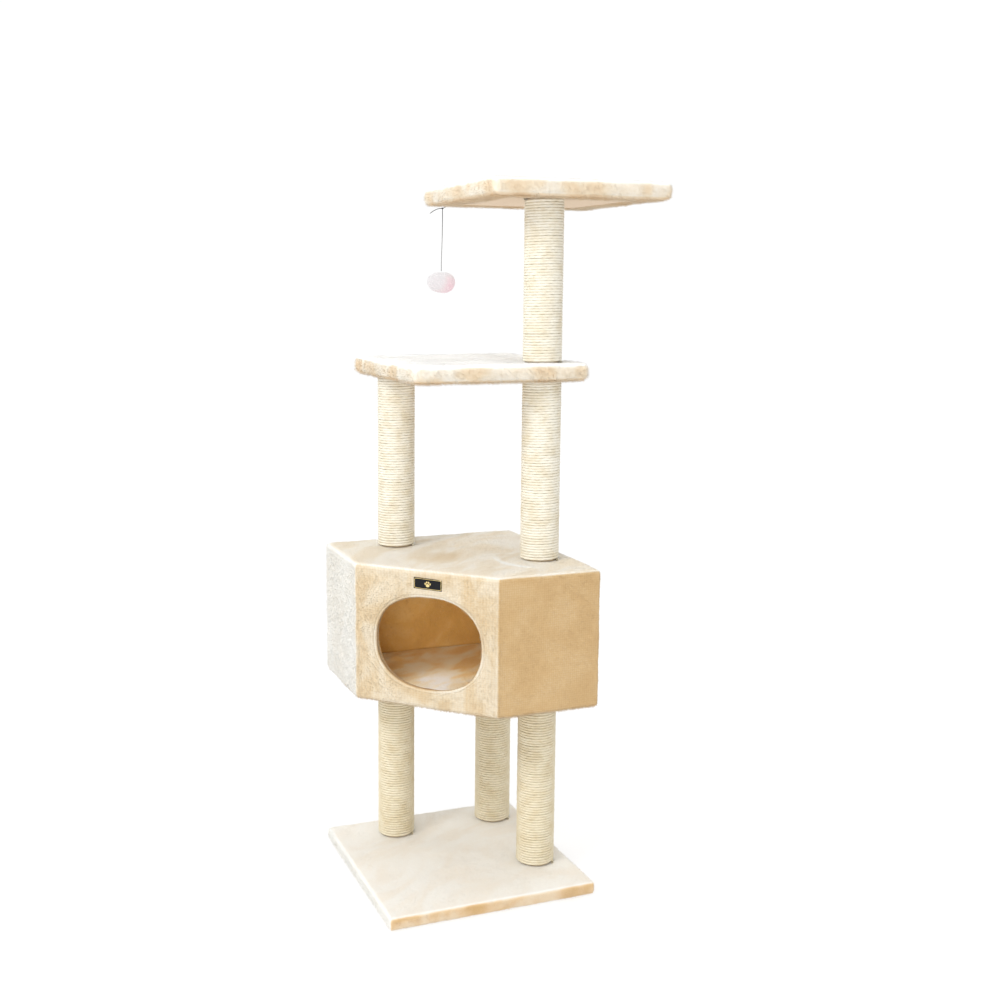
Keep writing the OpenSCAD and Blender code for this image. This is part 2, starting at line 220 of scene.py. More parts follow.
def soften_edges(thing, width):
    bevel = thing.modifiers.new("soft_edge", "BEVEL")
    bevel.width, bevel.segments, bevel.limit_method = width, 2, "ANGLE"


def smooth_line(points, step):
    """Points every step or so along a smooth curve through the given ones."""
    points = np.asarray(points, float)
    ends = np.vstack([2 * points[0] - points[1], points, 2 * points[-1] - points[-2]])
    found = []
    for i in range(1, len(ends) - 2):
        a, b, c, d = ends[i - 1:i + 3]
        count = max(1, round(np.linalg.norm(c - b) / step))
        for t in np.arange(count) / count:
            found.append(0.5 * (2 * b + (c - a) * t + (2 * a - 5 * b + 4 * c - d) * t ** 2
                                + (3 * b - a - 3 * c + d) * t ** 3))
    return np.array(found + [points[-1]])


def grid_quads(rows, columns):
    """Faces of a skin made of closed rows of points."""
    i, j = np.arange(rows - 1)[:, None], np.arange(columns)[None, :]
    a, b = i * columns + j, i * columns + (j + 1) % columns
    return np.stack([a, a + columns, b + columns, b], axis=-1).reshape(-1, 4)


def end_caps(rows, columns):
    """Triangles that close both ends of such a skin, with its two middle points after the rows."""
    ring = np.arange(columns)
    follow, last, total = (ring + 1) % columns, (rows - 1) * columns, rows * columns
    first_end = np.stack([ring, follow, np.full(columns, total)], axis=1)
    other_end = np.stack([follow + last, ring + last, np.full(columns, total + 1)], axis=1)
    return np.concatenate([first_end, other_end])


def super_oval(half_w, half_h, power, count):
    """Points round an oval with squared sides: the smaller the power, the squarer."""
    angle = np.linspace(0, 2 * math.pi, count, endpoint=False)
    c, s = np.cos(angle), np.sin(angle)
    return np.column_stack([half_w * np.sign(c) * np.abs(c) ** power,
                            half_h * np.sign(s) * np.abs(s) ** power])


def rope_box(post):
    """The low corner, the high corner and the middle of a post's rope."""
    low, high = (np.array(corner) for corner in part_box(post + "_rope"))
    return low, high, (low + high) / 2


def tube(name, line, radius, material, sides=8, closed=False, lobes=0, lay=6 * MM, ridge=0.0):
    """A round tube along a line, twisted like a cord if it has lobes."""
    line = np.asarray(line, float)
    count = len(line)
    if closed:
        along = unit(np.roll(line, -1, 0) - np.roll(line, 1, 0))
    else:
        along = unit(np.gradient(line, axis=0))
    side = np.cross(along[0], [0.3, 0.5, 0.8])
    theta = np.linspace(0, 2 * math.pi, sides, endpoint=False)
    run, rings = 0.0, []
    for i in range(count):
        side = side - along[i] * np.dot(side, along[i])
        side /= np.linalg.norm(side)
        other = np.cross(along[i], side)
        run += np.linalg.norm(line[i] - line[i - 1]) if i else 0
        swell = 1 + ridge * np.cos(lobes * theta + 2 * math.pi * run / lay)
        reach = (radius * swell)[:, None]
        rings.append(line[i] + reach * (np.cos(theta)[:, None] * side
                                        + np.sin(theta)[:, None] * other))
    points = np.array(rings).reshape(-1, 3)
    if closed:
        quads = grid_quads(count + 1, sides) % len(points)
        return make_object(name, points, [quads[:, ::-1]], material)
    faces = [grid_quads(count, sides)[:, ::-1], end_caps(count, sides)]
    return make_object(name, np.concatenate([points, line[:1], line[-1:]]), faces, material)


def ball_skin(centre, axes, rows, columns, lumps=0.0, lump_size=1.0, seed=0.0):
    """Points and quads of a lumpy ball. axes are its three half-axes, as vectors."""
    polar = np.linspace(0.03, math.pi - 0.03, rows)
    round_it = np.linspace(0, 2 * math.pi, columns, endpoint=False)
    p, a = np.meshgrid(polar, round_it, indexing="ij")
    shape = np.stack([np.sin(p) * np.cos(a), np.sin(p) * np.sin(a), np.cos(p)], -1).reshape(-1, 3)
    swell = 1 + lumps * smooth_noise(shape, lump_size, seed)
    points = np.asarray(centre) + (shape * swell[:, None]) @ np.array(axes)
    return points, grid_quads(rows, columns)


def closed_skin(name, points, quads, columns, material):
    """A skin with a middle point and a fan of triangles at each end."""
    middles = [points[:columns].mean(0), points[-columns:].mean(0)]
    faces = [quads, end_caps(len(points) // columns, columns)]
    return make_object(name, np.concatenate([points, middles]), faces, material)


def join(name, things):
    """One object from several, each keeping its materials."""
    bpy.ops.object.select_all(action="DESELECT")
    for thing in things:
        thing.select_set(True)
    bpy.context.view_layer.objects.active = things[0]
    bpy.ops.object.join()
    things[0].name = name
    things[0].select_set(False)
    return things[0]


# ---- Materials ----


def principled(name):
    material = bpy.data.materials.new(name)
    material.use_nodes = True
    return material, material.node_tree, material.node_tree.nodes["Principled BSDF"]


def plain_material(name, colour, roughness, sheen=0.0):
    material, _, shader = principled(name)
    shader.inputs["Base Color"].default_value = (*colour, 1)
    shader.inputs["Roughness"].default_value = roughness
    shader.inputs["Sheen Weight"].default_value = sheen
    shader.inputs["Specular IOR Level"].default_value = 0.2 if sheen else 0.5
    return material


def glowing_material(name, colour, glow, strength, roughness):
    """A plain material with a weak glow, which stands in for light scattered inside it."""
    material = plain_material(name, colour, roughness)
    inputs = material.node_tree.nodes["Principled BSDF"].inputs
    inputs["Emission Color"].default_value = (*glow, 1)
    inputs["Emission Strength"].default_value = strength
    return material


def object_place(tree):
    return tree.nodes.new("ShaderNodeTexCoord").outputs["Object"]


def math_node(tree, operation, *values):
    """Each value is a socket or a number."""
    node = tree.nodes.new("ShaderNodeMath")
    node.operation = operation
    for socket, value in zip(node.inputs, values):
        if isinstance(value, float):
            socket.default_value = value
        else:
            tree.links.new(value, socket)
    return node.outputs["Value"]


def range_node(tree, value, taken, given):
    """Turns the range that is taken into the range that is given."""
    node = tree.nodes.new("ShaderNodeMapRange")
    limits = dict(zip(("From Min", "From Max", "To Min", "To Max"), (*taken, *given)))
    for name, limit in limits.items():
        node.inputs[name].default_value = limit
    tree.links.new(value, node.inputs["Value"])
    return node.outputs["Result"]


def noise_node(tree, vector, scale, detail=3.0, roughness=0.55, distortion=0.0):
    node = tree.nodes.new("ShaderNodeTexNoise")
    node.inputs["Scale"].default_value = scale
    node.inputs["Detail"].default_value = detail
    node.inputs["Roughness"].default_value = roughness
    node.inputs["Distortion"].default_value = distortion
    tree.links.new(vector, node.inputs["Vector"])
    return node.outputs["Fac"]


def ramp_node(tree, factor, stops):
    node = tree.nodes.new("ShaderNodeValToRGB")
    ramp = node.color_ramp
    while len(ramp.elements) < len(stops):
        ramp.elements.new(0.5)
    for element, (place, colour) in zip(ramp.elements, stops):
        element.position = place
        element.color = (*colour, 1)
    tree.links.new(factor, node.inputs["Fac"])
    return node.outputs["Color"]


def mix_colours(tree, factor, first, second, blend="MIX"):
    """factor is a socket or a number; first and second are colour sockets."""
    node = tree.nodes.new("ShaderNodeMix")
    node.data_type, node.blend_type = "RGBA", blend
    if isinstance(factor, float):
        node.inputs["Factor"].default_value = factor
    else:
        tree.links.new(factor, node.inputs["Factor"])
    tree.links.new(first, node.inputs["A"])
    tree.links.new(second, node.inputs["B"])
    return node.outputs["Result"]


def bump(tree, shader, height, strength, distance):
    node = tree.nodes.new("ShaderNodeBump")
    node.inputs["Strength"].default_value = strength
    node.inputs["Distance"].default_value = distance
    tree.links.new(height, node.inputs["Height"])
    tree.links.new(node.outputs["Normal"], shader.inputs["Normal"])


def stretched(tree, vector, scale, turn=0.0):
    node = tree.nodes.new("ShaderNodeMapping")
    node.inputs["Scale"].default_value = scale
    node.inputs["Rotation"].default_value = (0, 0, turn)
    tree.links.new(vector, node.inputs["Vector"])
    return node.outputs["Vector"]


# Plush tones, from the pile seen end on in painted shade to the pile laid flat in painted light
PALETTES = {
    "base": [(0.60, 0.40, 0.19), (0.70, 0.52, 0.32), (0.75, 0.64, 0.49), (0.74, 0.695, 0.62),
             (0.775, 0.77, 0.735)],
    "platform": [(0.62, 0.42, 0.22), (0.73, 0.55, 0.35), (0.78, 0.67, 0.51),
                 (0.84, 0.80, 0.72), (0.98, 0.98, 0.97)],
    "condo": [(0.46, 0.285, 0.12), (0.56, 0.39, 0.20), (0.64, 0.525, 0.36), (0.72, 0.655, 0.54),
              (0.80, 0.80, 0.775)],
    "lining": [(0.66, 0.37, 0.10), (0.82, 0.50, 0.155), (0.90, 0.64, 0.28), (0.94, 0.80, 0.54),
               (0.97, 0.94, 0.88)],
}
TONES = 9


def palette_colour(name, tone):
    stops = np.array(PALETTES[name])
    place = np.clip(tone, 0, 1) * (len(stops) - 1)
    low = int(min(place, len(stops) - 2))
    return tuple(stops[low] * (1 - place + low) + stops[low + 1] * (place - low))


WEAVE_PERIOD = 4.2 * MM


def weave_lines(tree, place, direction):
    """The fine lines of the backing, which show through the pile."""
    wave = tree.nodes.new("ShaderNodeTexWave")
    wave.bands_direction = direction
    wave.inputs["Scale"].default_value = math.pi / (10 * WEAVE_PERIOD)
    wave.inputs["Distortion"].default_value = 2.5
    wave.inputs["Detail"].default_value = 1.0
    wave.inputs["Detail Scale"].default_value = 2.0
    tree.links.new(place, wave.inputs["Vector"])
    return wave.outputs["Fac"]


def plush_material(name, weave=0.0):
    """The short pile of a skin: its painted tone, which holds painted light, shade and rim highlights
    as well as brush marks, mottled along the fibres, with a soft sheen.
    """
    fleck = 0.22
    material, tree, shader = principled(name + "_plush")
    place = object_place(tree)
    nap_light_and_shade = tree.nodes.new("ShaderNodeAttribute")
    nap_light_and_shade.attribute_name = "nap_light_and_shade"
    mottle = noise_node(tree, stretched(tree, place, (1, 0.5, 1), 0.6), 260, 4, 0.65)
    shade = math_node(tree, "MULTIPLY_ADD", mottle, fleck, nap_light_and_shade.outputs["Fac"])
    for direction in ("X", "Z") if weave else ():
        lines = weave_lines(tree, place, direction)
        shade = math_node(tree, "MULTIPLY_ADD", lines, weave, shade)
    level = math_node(tree, "SUBTRACT", shade, fleck * 0.55 + weave)
    stops = [(i / 4, colour) for i, colour in enumerate(PALETTES[name])]
    tree.links.new(ramp_node(tree, level, stops), shader.inputs["Base Color"])
    shader.inputs["Roughness"].default_value = 0.92
    shader.inputs["Specular IOR Level"].default_value = 0.15
    shader.inputs["Sheen Weight"].default_value = 0.3
    shader.inputs["Sheen Roughness"].default_value = 0.45
    shader.inputs["Sheen Tint"].default_value = (1.0, 0.97, 0.92, 1)
    bump(tree, shader, noise_node(tree, place, 560, 4, 0.7), 0.7, 1.0 * MM)
    return material


def fibre_materials(name):
    """The tones of a plush as plain materials, one for each step."""
    return [plain_material(f"{name}_fibre_{i}", palette_colour(name, i / (TONES - 1)), 0.85,
                           sheen=0.3) for i in range(TONES)]


def sisal_material(name, tint):
    material, tree, shader = principled(name)
    lay = tree.nodes.new("ShaderNodeUVMap")
    lay.uv_map = "lay"
    along = stretched(tree, lay.outputs["UV"], (1.2, 26, 1))
    fibres = noise_node(tree, along, 1.0, 4, 0.65)
    place = object_place(tree)
    colour = ramp_node(tree, fibres, [(0.22, (0.66, 0.57, 0.41)), (0.48, (0.86, 0.82, 0.69)),
                                      (0.72, (0.93, 0.91, 0.83))])
    deep = tuple(c * d for c, d in zip(tint, (0.90, 0.86, 0.78)))
    blotches = ramp_node(tree, noise_node(tree, place, 45, 2), [(0.3, deep), (0.6, tint)])
    tree.links.new(mix_colours(tree, 1.0, colour, blotches, "MULTIPLY"),
                   shader.inputs["Base Color"])
    shader.inputs["Roughness"].default_value = 0.8
    shader.inputs["Specular IOR Level"].default_value = 0.25
    bump(tree, shader, fibres, 0.7, 0.5 * MM)
    return material


def mottled_material(name, stops, grain, roughness, rise, specular=0.5, stretch=(1, 1, 1)):
    """One noise, with its scale and detail in grain, gives both the colours and the bumps. rise
    is the bumps' strength and height."""
    material, tree, shader = principled(name)
    noise = noise_node(tree, stretched(tree, object_place(tree), stretch), *grain)
    tree.links.new(ramp_node(tree, noise, stops), shader.inputs["Base Color"])
    shader.inputs["Roughness"].default_value = roughness
    shader.inputs["Specular IOR Level"].default_value = specular
    bump(tree, shader, noise, *rise)
    return material


def felt_material(name, pale, deep):
    stops = [(0.35, deep), (0.65, pale)]
    return mottled_material(name, stops, (420, 5, 0.75, 1.5), 0.95, (0.5, 0.6 * MM))


def board_material(name, pale, deep, scale):
    stops = [(0.35, deep), (0.6, pale)]
    return mottled_material(name, stops, (scale, 6, 0.7, 0.4), 0.75, (0.3, 0.4 * MM))


def metal_material(name, colour, roughness, metallic=1.0):
    material, tree, shader = principled(name)
    grain = noise_node(tree, object_place(tree), 900, 3)
    rough = range_node(tree, grain, (0.0, 1.0), (roughness - 0.08, roughness + 0.12))
    tree.links.new(rough, shader.inputs["Roughness"])
    shader.inputs["Base Color"].default_value = (*colour, 1)
    shader.inputs["Metallic"].default_value = metallic
    return material


# ---- Plush covers ----


def inset_polygon(corners, depth):
    """Corners of a convex outline, counter-clockwise, drawn in by depth."""
    after = np.roll(corners, -1, axis=0)
    along = unit(after - corners)
    outward = np.stack([along[:, 1], -along[:, 0]], axis=1)
    level = np.sum(outward * corners, axis=1) - depth
    before = np.roll(outward, 1, axis=0)
    return np.array([
        np.linalg.solve(np.array([before[i], outward[i]]), [np.roll(level, 1)[i], level[i]])
        for i in range(len(corners))
    ])


ARC_STEPS = 5


def ring_points(corners, radius, counts):
    """A point for each step round an outline drawn in by radius, with the outward normal there
    and the number of its edge, or -1 on a corner."""
    core = inset_polygon(corners, radius)
    along = unit(np.roll(corners, -1, axis=0) - corners)
    outward = np.stack([along[:, 1], -along[:, 0]], axis=1)
    points, normals, edges = [], [], []
    for i, count in enumerate(counts):
        turn_from = math.atan2(outward[i - 1][1], outward[i - 1][0])
        turn_by = (math.atan2(outward[i][1], outward[i][0]) - turn_from) % (2 * math.pi)
        for k in range(ARC_STEPS + 1):
            angle = turn_from + turn_by * k / ARC_STEPS
            points.append(core[i])
            normals.append([math.cos(angle), math.sin(angle)])
            edges.append(-1 if 0 < k < ARC_STEPS else (i - 1) % len(counts) if k == 0 else i)
        following = core[(i + 1) % len(core)]
        for k in range(1, count):
            points.append(core[i] + (following - core[i]) * k / count)
            normals.append(outward[i])
            edges.append(i)
    return np.array(points), np.array(normals), np.array(edges)


def edge_counts(corners, step):
    lengths = np.linalg.norm(np.roll(corners, -1, axis=0) - corners, axis=1)
    return [max(4, round(length / step)) for length in lengths]


def ring_rows(corners, radius, counts, rows, centre):
    """Points of each row. A row is (share, inset, z): inset draws the outline in, and a share
    below 1 then draws the row in towards the centre."""
    found = []
    for share, inset, z in rows:
        curve = max(radius, inset + 0.3 * MM)
        core, normal, _ = ring_points(corners, curve, counts)
        flat = core + (curve - inset) * normal
        flat = centre + (flat - centre) * share
        found.append(np.column_stack([flat, np.full(len(flat), z)]))
    return np.array(found)


def round_over(radius, z, start, end, steps):
    """Rows round a plush edge. Angles are from the horizontal, in degrees."""
    angles = np.radians(np.linspace(start, end, steps))
    return [(1, radius * (1 - math.cos(a)), z + radius * math.sin(a)) for a in angles]


def block_rows(low_z, high_z, radius, step, half, window=None, depth=0.0):
    """Rows from the middle of the top, over the side, to the middle of the underside or to the
    window in the turned-under plush."""
    rings = max(6, round((half - radius) / step))
    first = 0.5 / rings
    top = [(s, radius, high_z) for s in np.linspace(first, 1, rings)[:-1]]
    side_steps = max(3, round((high_z - low_z - 2 * radius) / step) + 1)
    side = [(1, 0, z) for z in np.linspace(high_z - radius, low_z + radius, side_steps)]
    rows = top + round_over(radius, high_z - radius, 90, 0, 6)[:-1] + side
    rows += round_over(radius, low_z + radius, 0, -90, 6)[1:]
    if window is None:
        return rows + [(s, radius, low_z) for s in np.linspace(1, first, rings)[1:]]
    under = np.linspace(1, window, max(4, round((1 - window) * half / step)))[1:]
    rows += [(s, radius, low_z) for s in under]
    lip = 2.5 * MM / half
    rows += [(window - lip * (1 - math.cos(a)), radius, low_z + 2.5 * MM * math.sin(a))
             for a in np.radians([30, 60, 90])]
    return rows + [(window - lip, radius, low_z + depth)]


def shell_faces(rows, columns, keep=None, hole_loop=None, open_top=False, open_bottom=False):
    """Faces of an outer skin and the inner skin behind it. Points are the outer rows, the inner
    rows, then a middle point for each closed end, outer first."""
    total = rows * columns
    outer = grid_quads(rows, columns)
    if keep is not None:
        outer = outer[keep]
    quads, tris = [outer, outer[:, ::-1] + total], []
    ring = np.arange(columns)
    follow = (ring + 1) % columns
    middles = 2 * total
    last = (rows - 1) * columns
    for is_open, start, flip in ((open_top, 0, False), (open_bottom, last, True)):
        a, b = ring + start, follow + start
        if flip:
            a, b = b, a
        if is_open:
            quads.append(np.stack([a, b, b + total, a + total], axis=1))
            continue
        tris.append(np.stack([a, b, np.full(columns, middles)], axis=1))
        tris.append(np.stack([b + total, a + total, np.full(columns, middles + 1)], axis=1))
        middles += 2
    if hole_loop is not None:
        a, b = hole_loop, np.roll(hole_loop, -1)
        quads.append(np.stack([b, a, a + total, b + total], axis=1))
    groups = [np.concatenate(quads)]
    return groups + ([np.concatenate(tris)] if tris else []), outer


def ruffle(points, quads, swell, tuft, seed):
    """Moves a skin's points in and out: slow waves of swell and tufts of the pile."""
    normals = point_normals(points, quads)
    push = swell * smooth_noise(points, 38 * MM, seed) + tuft * smooth_noise(points, 9 * MM, seed)
    push += 0.5 * tuft * smooth_noise(points, 4.5 * MM, seed + 5)
    return points + normals * push[:, None]


def back_skin(corners, rows, counts, centre, low_z, high_z, depth):
    """The back of a plush, as far behind its outer skin as the plush is thick."""
    level = [(s, 0, min(max(z, low_z + depth), high_z - depth)) for s, _, z in rows]
    return ring_rows(inset_polygon(corners, depth), 1 * MM, counts, level, centre)


def cover(name, corners, low_z, high_z, depth, corner, edge, material, seed, window=None,
          swell=0.8 * MM, tuft=0.7 * MM, step=3.5 * MM):
    """Plush over a board, or a solid pad where depth is 0. Returns the object and its outer skin,
    as points and quads."""
    counts = edge_counts(corners, step)
    centre = corners.mean(axis=0)
    half = min(np.ptp(corners[:, 0]), np.ptp(corners[:, 1])) / 2
    rows = block_rows(low_z, high_z, edge, step, half, window, depth)
    outer = ring_rows(corners, corner, counts, rows, centre)
    columns = outer.shape[1]
    faces, quads = shell_faces(len(rows), columns, open_bottom=window is not None)
    skin = ruffle(outer.reshape(-1, 3), quads, swell, tuft, seed)
    skin[:, 2] = np.maximum(skin[:, 2], 0)
    if depth == 0:
        return closed_skin(name, skin, quads, columns, material), skin, quads
    inner = back_skin(corners, rows, counts, centre, low_z, high_z, depth)
    middles = [skin[:columns].mean(axis=0), [*centre, high_z - depth]]
    points = np.concatenate([skin, inner.reshape(-1, 3), middles])
    return make_object(name, points, faces, material), skin, quads


def door_outline(grow):
    """Points round the doorway, as distances to the right of and above its middle."""
    return super_oval(DOOR_HALF_W + grow, DOOR_HALF_H + grow, 2 / DOOR_SQUARENESS, 180)


def open_doorway(rows_points, edges, grow):
    """Bends the grid on the door face round the doorway. Returns the moved points, the faces to
    keep and the loop of points round the hole."""
    rows, columns = rows_points.shape[:2]
    flat = rows_points - DOOR_FACE
    right = flat @ DOOR_RIGHT - DOOR_SHIFT
    up = rows_points[..., 2] - DOOR_Z
    on_face = np.where(edges == DOOR_EDGE)[0]
    face_right = right[rows // 2, on_face]
    order = np.argsort(face_right)
    on_face, face_right = on_face[order], face_right[order]
    block_share = 0.78    # of the doorway, for the block of faces that opens into it
    wide, high = DOOR_HALF_W + grow, DOOR_HALF_H + grow
    first = on_face[np.argmin(np.abs(face_right + wide * block_share))]
    last = on_face[np.argmin(np.abs(face_right - wide * block_share))]
    heights = up[:, on_face[0]]
    upper = np.argmin(np.abs(heights - high * block_share))
    lower = np.argmin(np.abs(heights + high * block_share))
    box = (-right[rows // 2, first], right[rows // 2, last], -heights[lower], heights[upper])
    face_box = (-face_right[0], face_right[-1], -heights[-1], heights[0])
    moved = rows_points.copy()
    x, z = right[:, on_face], up[:, on_face]
    (side_x, side_z), (far_x, far_z) = (
        (np.where(x < 0, left_side, right_side), np.where(z < 0, under, over))
        for left_side, right_side, under, over in (box, face_box))
    reach = np.maximum(np.maximum(np.abs(x) / side_x, np.abs(z) / side_z), 1e-6)
    limit = reach * np.minimum(far_x / np.maximum(np.abs(x), 1e-9),
                               far_z / np.maximum(np.abs(z), 1e-9))
    power = DOOR_SQUARENESS
    oval = ((np.abs(x) / wide) ** power + (np.abs(z) / high) ** power) ** (-1 / power)
    fade = np.clip(1 - (reach - 1) / np.maximum(limit - 1, 1e-6), 0, 1)
    growth = (reach * oval - 1) * fade
    moved[:, on_face] += (x * growth)[..., None] * DOOR_RIGHT
    moved[:, on_face, 2] += z * growth
    inside = np.zeros((rows - 1, columns), bool)
    step = 1 if (last - first) % columns < columns / 2 else -1
    low_column, high_column = (first, last) if step == 1 else (last, first)
    inside[upper:lower, low_column:high_column] = True
    ring = [upper * columns + c for c in range(low_column, high_column)]
    ring += [r * columns + high_column for r in range(upper, lower)]
    ring += [lower * columns + c for c in range(high_column, low_column, -1)]
    ring += [r * columns + low_column for r in range(lower, upper, -1)]
    return moved, ~inside.ravel(), np.array(ring)


HOLE_GROW = 4.5 * MM


def condo_cover(material):
    """The condo's outer plush, over roof, walls and underside, with the doorway."""
    step, corner, edge = 3.5 * MM, 5 * MM, 9 * MM
    corners = inset_polygon(CONDO_CORNERS, SKIN_IN)
    low_z, high_z, depth = CONDO_LOW.z + SKIN_IN, CONDO_HIGH.z - SKIN_IN, PLUSH - SKIN_IN
    counts = edge_counts(corners, step)
    centre = corners.mean(axis=0)
    rows = block_rows(low_z, high_z, edge, step, HALF)
    outer = ring_rows(corners, corner, counts, rows, centre)
    inner = back_skin(corners, rows, counts, centre, low_z, high_z, depth)
    _, _, edges = ring_points(corners, corner, counts)
    side = [i for i, (share, inset, _) in enumerate(rows) if share == 1 and inset == 0]
    top, bottom = side[0], side[-1] + 1
    columns = outer.shape[1]
    keep = np.ones((len(rows) - 1) * columns, bool)
    part, kept, ring = open_doorway(outer[top:bottom], edges, HOLE_GROW)
    outer[top:bottom] = part
    inner[top:bottom] = open_doorway(inner[top:bottom], edges, HOLE_GROW)[0]
    keep[top * columns:(bottom - 1) * columns] = kept
    faces, quads = shell_faces(len(rows), columns, keep, ring + top * columns)
    skin = ruffle(outer.reshape(-1, 3), quads, 0.7 * MM, 0.35 * MM, 3.0)
    middles = [skin[:columns].mean(axis=0), [*centre, high_z - depth],
               skin[-columns:].mean(axis=0), [*centre, low_z + depth]]
    points = np.concatenate([skin, inner.reshape(-1, 3), middles])
    return make_object("condo_cover", points, faces, material), skin, quads


def condo_wall_lining(material):
    """The plush on the inside of the condo's walls, with the doorway."""
    step = 4 * MM
    corners = inset_polygon(CONDO_CORNERS, ROOM_INSET + LINING)
    back_corners = inset_polygon(CONDO_CORNERS, ROOM_INSET)
    counts = edge_counts(corners, step)
    heights = np.linspace(LINING_HIGH.z, LINING_LOW.z,
                          round((LINING_HIGH.z - LINING_LOW.z) / step) + 1)
    rows = [(1, 0, z) for z in heights]
    centre = corners.mean(axis=0)
    front = ring_rows(corners, 5 * MM, counts, rows, centre)
    back = ring_rows(back_corners, 1 * MM, counts, rows, centre)
    _, _, edges = ring_points(corners, 5 * MM, counts)
    front, keep, ring = open_doorway(front, edges, HOLE_GROW)
    back = open_doorway(back, edges, HOLE_GROW)[0]
    faces, quads = shell_faces(len(rows), front.shape[1], keep, ring, True, True)
    skin = ruffle(front.reshape(-1, 3), quads, 1.6 * MM, 0.8 * MM, 8.0)
    flipped = [group[:, ::-1] for group in faces]
    points = np.concatenate([skin, back.reshape(-1, 3)])
    return make_object("condo_wall_lining", points, flipped, material), skin, quads[:, ::-1]


def door_roll(material):
    """The plush turned through the doorway, as a soft ring with a rounded lip on each side."""
    depth = ROOM_INSET + LINING
    section = [(8, 3.0), (6, 1.5), (4.5, 0.6), (3, 0.5), (1.6, 1.0), (0.5, 2.2), (0.2, 4),
               (1.2, 7), (3, 10), (3, 15), (3.6, 18), (5.5, 20), (8, 20.9), (11, 20.2), (8, 19.0),
               (6.4, 17), (6.2, 13), (6.2, 8), (7, 5)]
    rings = []
    for grow, inwards in section:
        outline = door_outline(grow * MM)
        place = DOOR_FACE + np.outer(outline[:, 0] + DOOR_SHIFT, DOOR_RIGHT)
        place = place - DOOR_OUT * inwards * MM * depth / (20.5 * MM)
        place[:, 2] = DOOR_Z + outline[:, 1]
        rings.append(place)
    points = np.array(rings).reshape(-1, 3)
    count = len(rings[0])
    quads = grid_quads(len(section) + 1, count)[:, ::-1] % len(points)
    skin = ruffle(points, quads, 0.6 * MM, 0.4 * MM, 14.0)
    seen_rows = 13
    return make_object("doorway_roll", skin, [quads], material), skin, quads[:seen_rows * count]


# ---- Pile tone: which way the pile was brushed, and how pale it looks with painted light and shade by the way a surface faces and painted rim highlights ----

DIRECTIONS = {
    "up": (0, 0, 1), "down": (0, 0, -1), "left": (-1, 0, 0), "right": (1, 0, 0),
    "front": (0, -1, 0), "back": (0, 1, 0), "door": tuple(DOOR_OUT),
}


def brush_marks(points, seed, size=62 * MM):
    """Long soft strokes, from -1 to 1."""
    wander = np.column_stack([smooth_noise(points, 85 * MM, seed + k * 7.7) for k in range(3)])
    moved = np.asarray(points) + wander * 34 * MM
    turn = math.radians(38)
    x = moved[:, 0] * math.cos(turn) + moved[:, 1] * math.sin(turn)
    y = moved[:, 1] * math.cos(turn) - moved[:, 0] * math.sin(turn)
    stroke = np.column_stack([x * 0.8, y * 2.4, moved[:, 2] * 1.5])
    both = smooth_noise(stroke, size, seed + 3) + 0.5 * smooth_noise(stroke, size * 0.4, seed)
    return np.tanh(2.2 * both)


def nap_light_and_shade(points, normals, panels, seed, rim=0.25):
    """How pale the pile is: a tone for each way a surface faces, which paints light and shade on it,
    paler on the rims as a painted highlight, with brush marks. panels gives (tone, depth of the marks)
    for each direction."""
    total, tone, marks = np.zeros(len(points)), 0.0, 0.0
    peak = np.full(len(points), -1.0)
    for name, direction in DIRECTIONS.items():
        if name == "door" and "door" not in panels:
            continue
        facing = normals @ np.array(direction, float)
        weight = np.maximum(facing, 0) ** 10
        peak = np.maximum(peak, facing)
        level, depth = panels.get(name, panels["other"])
        total, tone, marks = total + weight, tone + weight * level, marks + weight * depth
    total = np.maximum(total, 1e-9)
    # Painted rim highlight: paler where the surface turns from one face to the next, most on top edges
    rim_highlight = np.clip((0.985 - peak) / 0.2, 0, 1) * (0.25 + 0.75 * np.clip(2 * normals[:, 2], 0, 1))
    return tone / total + rim * rim_highlight + marks / total * brush_marks(points, seed)


def paint(thing, skin, quads, panels, seed, rim=0.25, extra=None):
    """Stores the tone at each point of a cover, for the plush material: painted light and shade by the
    way the surface faces, painted rim highlights and brush marks. The inner skin repeats the outer
    one's values."""
    values = nap_light_and_shade(skin, point_normals(skin, quads), panels, seed, rim)
    if extra is not None:
        values += extra(skin)
    filled = np.full(len(thing.data.vertices), 0.5, np.float32)
    filled[: len(values)] = values
    filled[len(values):][: len(values)] = values[: len(filled) - len(values)]
    thing.data.attributes.new("nap_light_and_shade", "FLOAT", "POINT").data.foreach_set("value", filled)


# ---- Pile: the fibres that stand on a plush skin ----


def sample_skin(points, quads, count, rng):
    """Random places spread evenly over a skin, and the normal at each."""
    a, b, c, d = (points[quads[:, k]] for k in range(4))
    area = np.linalg.norm(np.cross(c - a, d - b), axis=1)
    chosen = rng.choice(len(quads), count, p=area / area.sum())
    u, v = rng.random((count, 1)), rng.random((count, 1))
    low = a[chosen] * (1 - u) + b[chosen] * u
    high = d[chosen] * (1 - u) + c[chosen] * u
    whole = point_normals(points, quads)
    normal = unit(whole[quads[chosen]].mean(axis=1))
    return low * (1 - v) + high * v, normal


def clear_of_posts(points, gap):
    fine = np.ones(len(points), bool)
    for post in POSTS:
        low, high, middle = rope_box(post)
        radius = (high[0] - low[0]) / 2 + gap
        near = np.linalg.norm(points[:, :2] - middle[:2], axis=1) < radius
        level = (points[:, 2] > low[2] - 15 * MM) & (points[:, 2] < high[2] + 15 * MM)
        fine &= ~(near & level)
    return fine


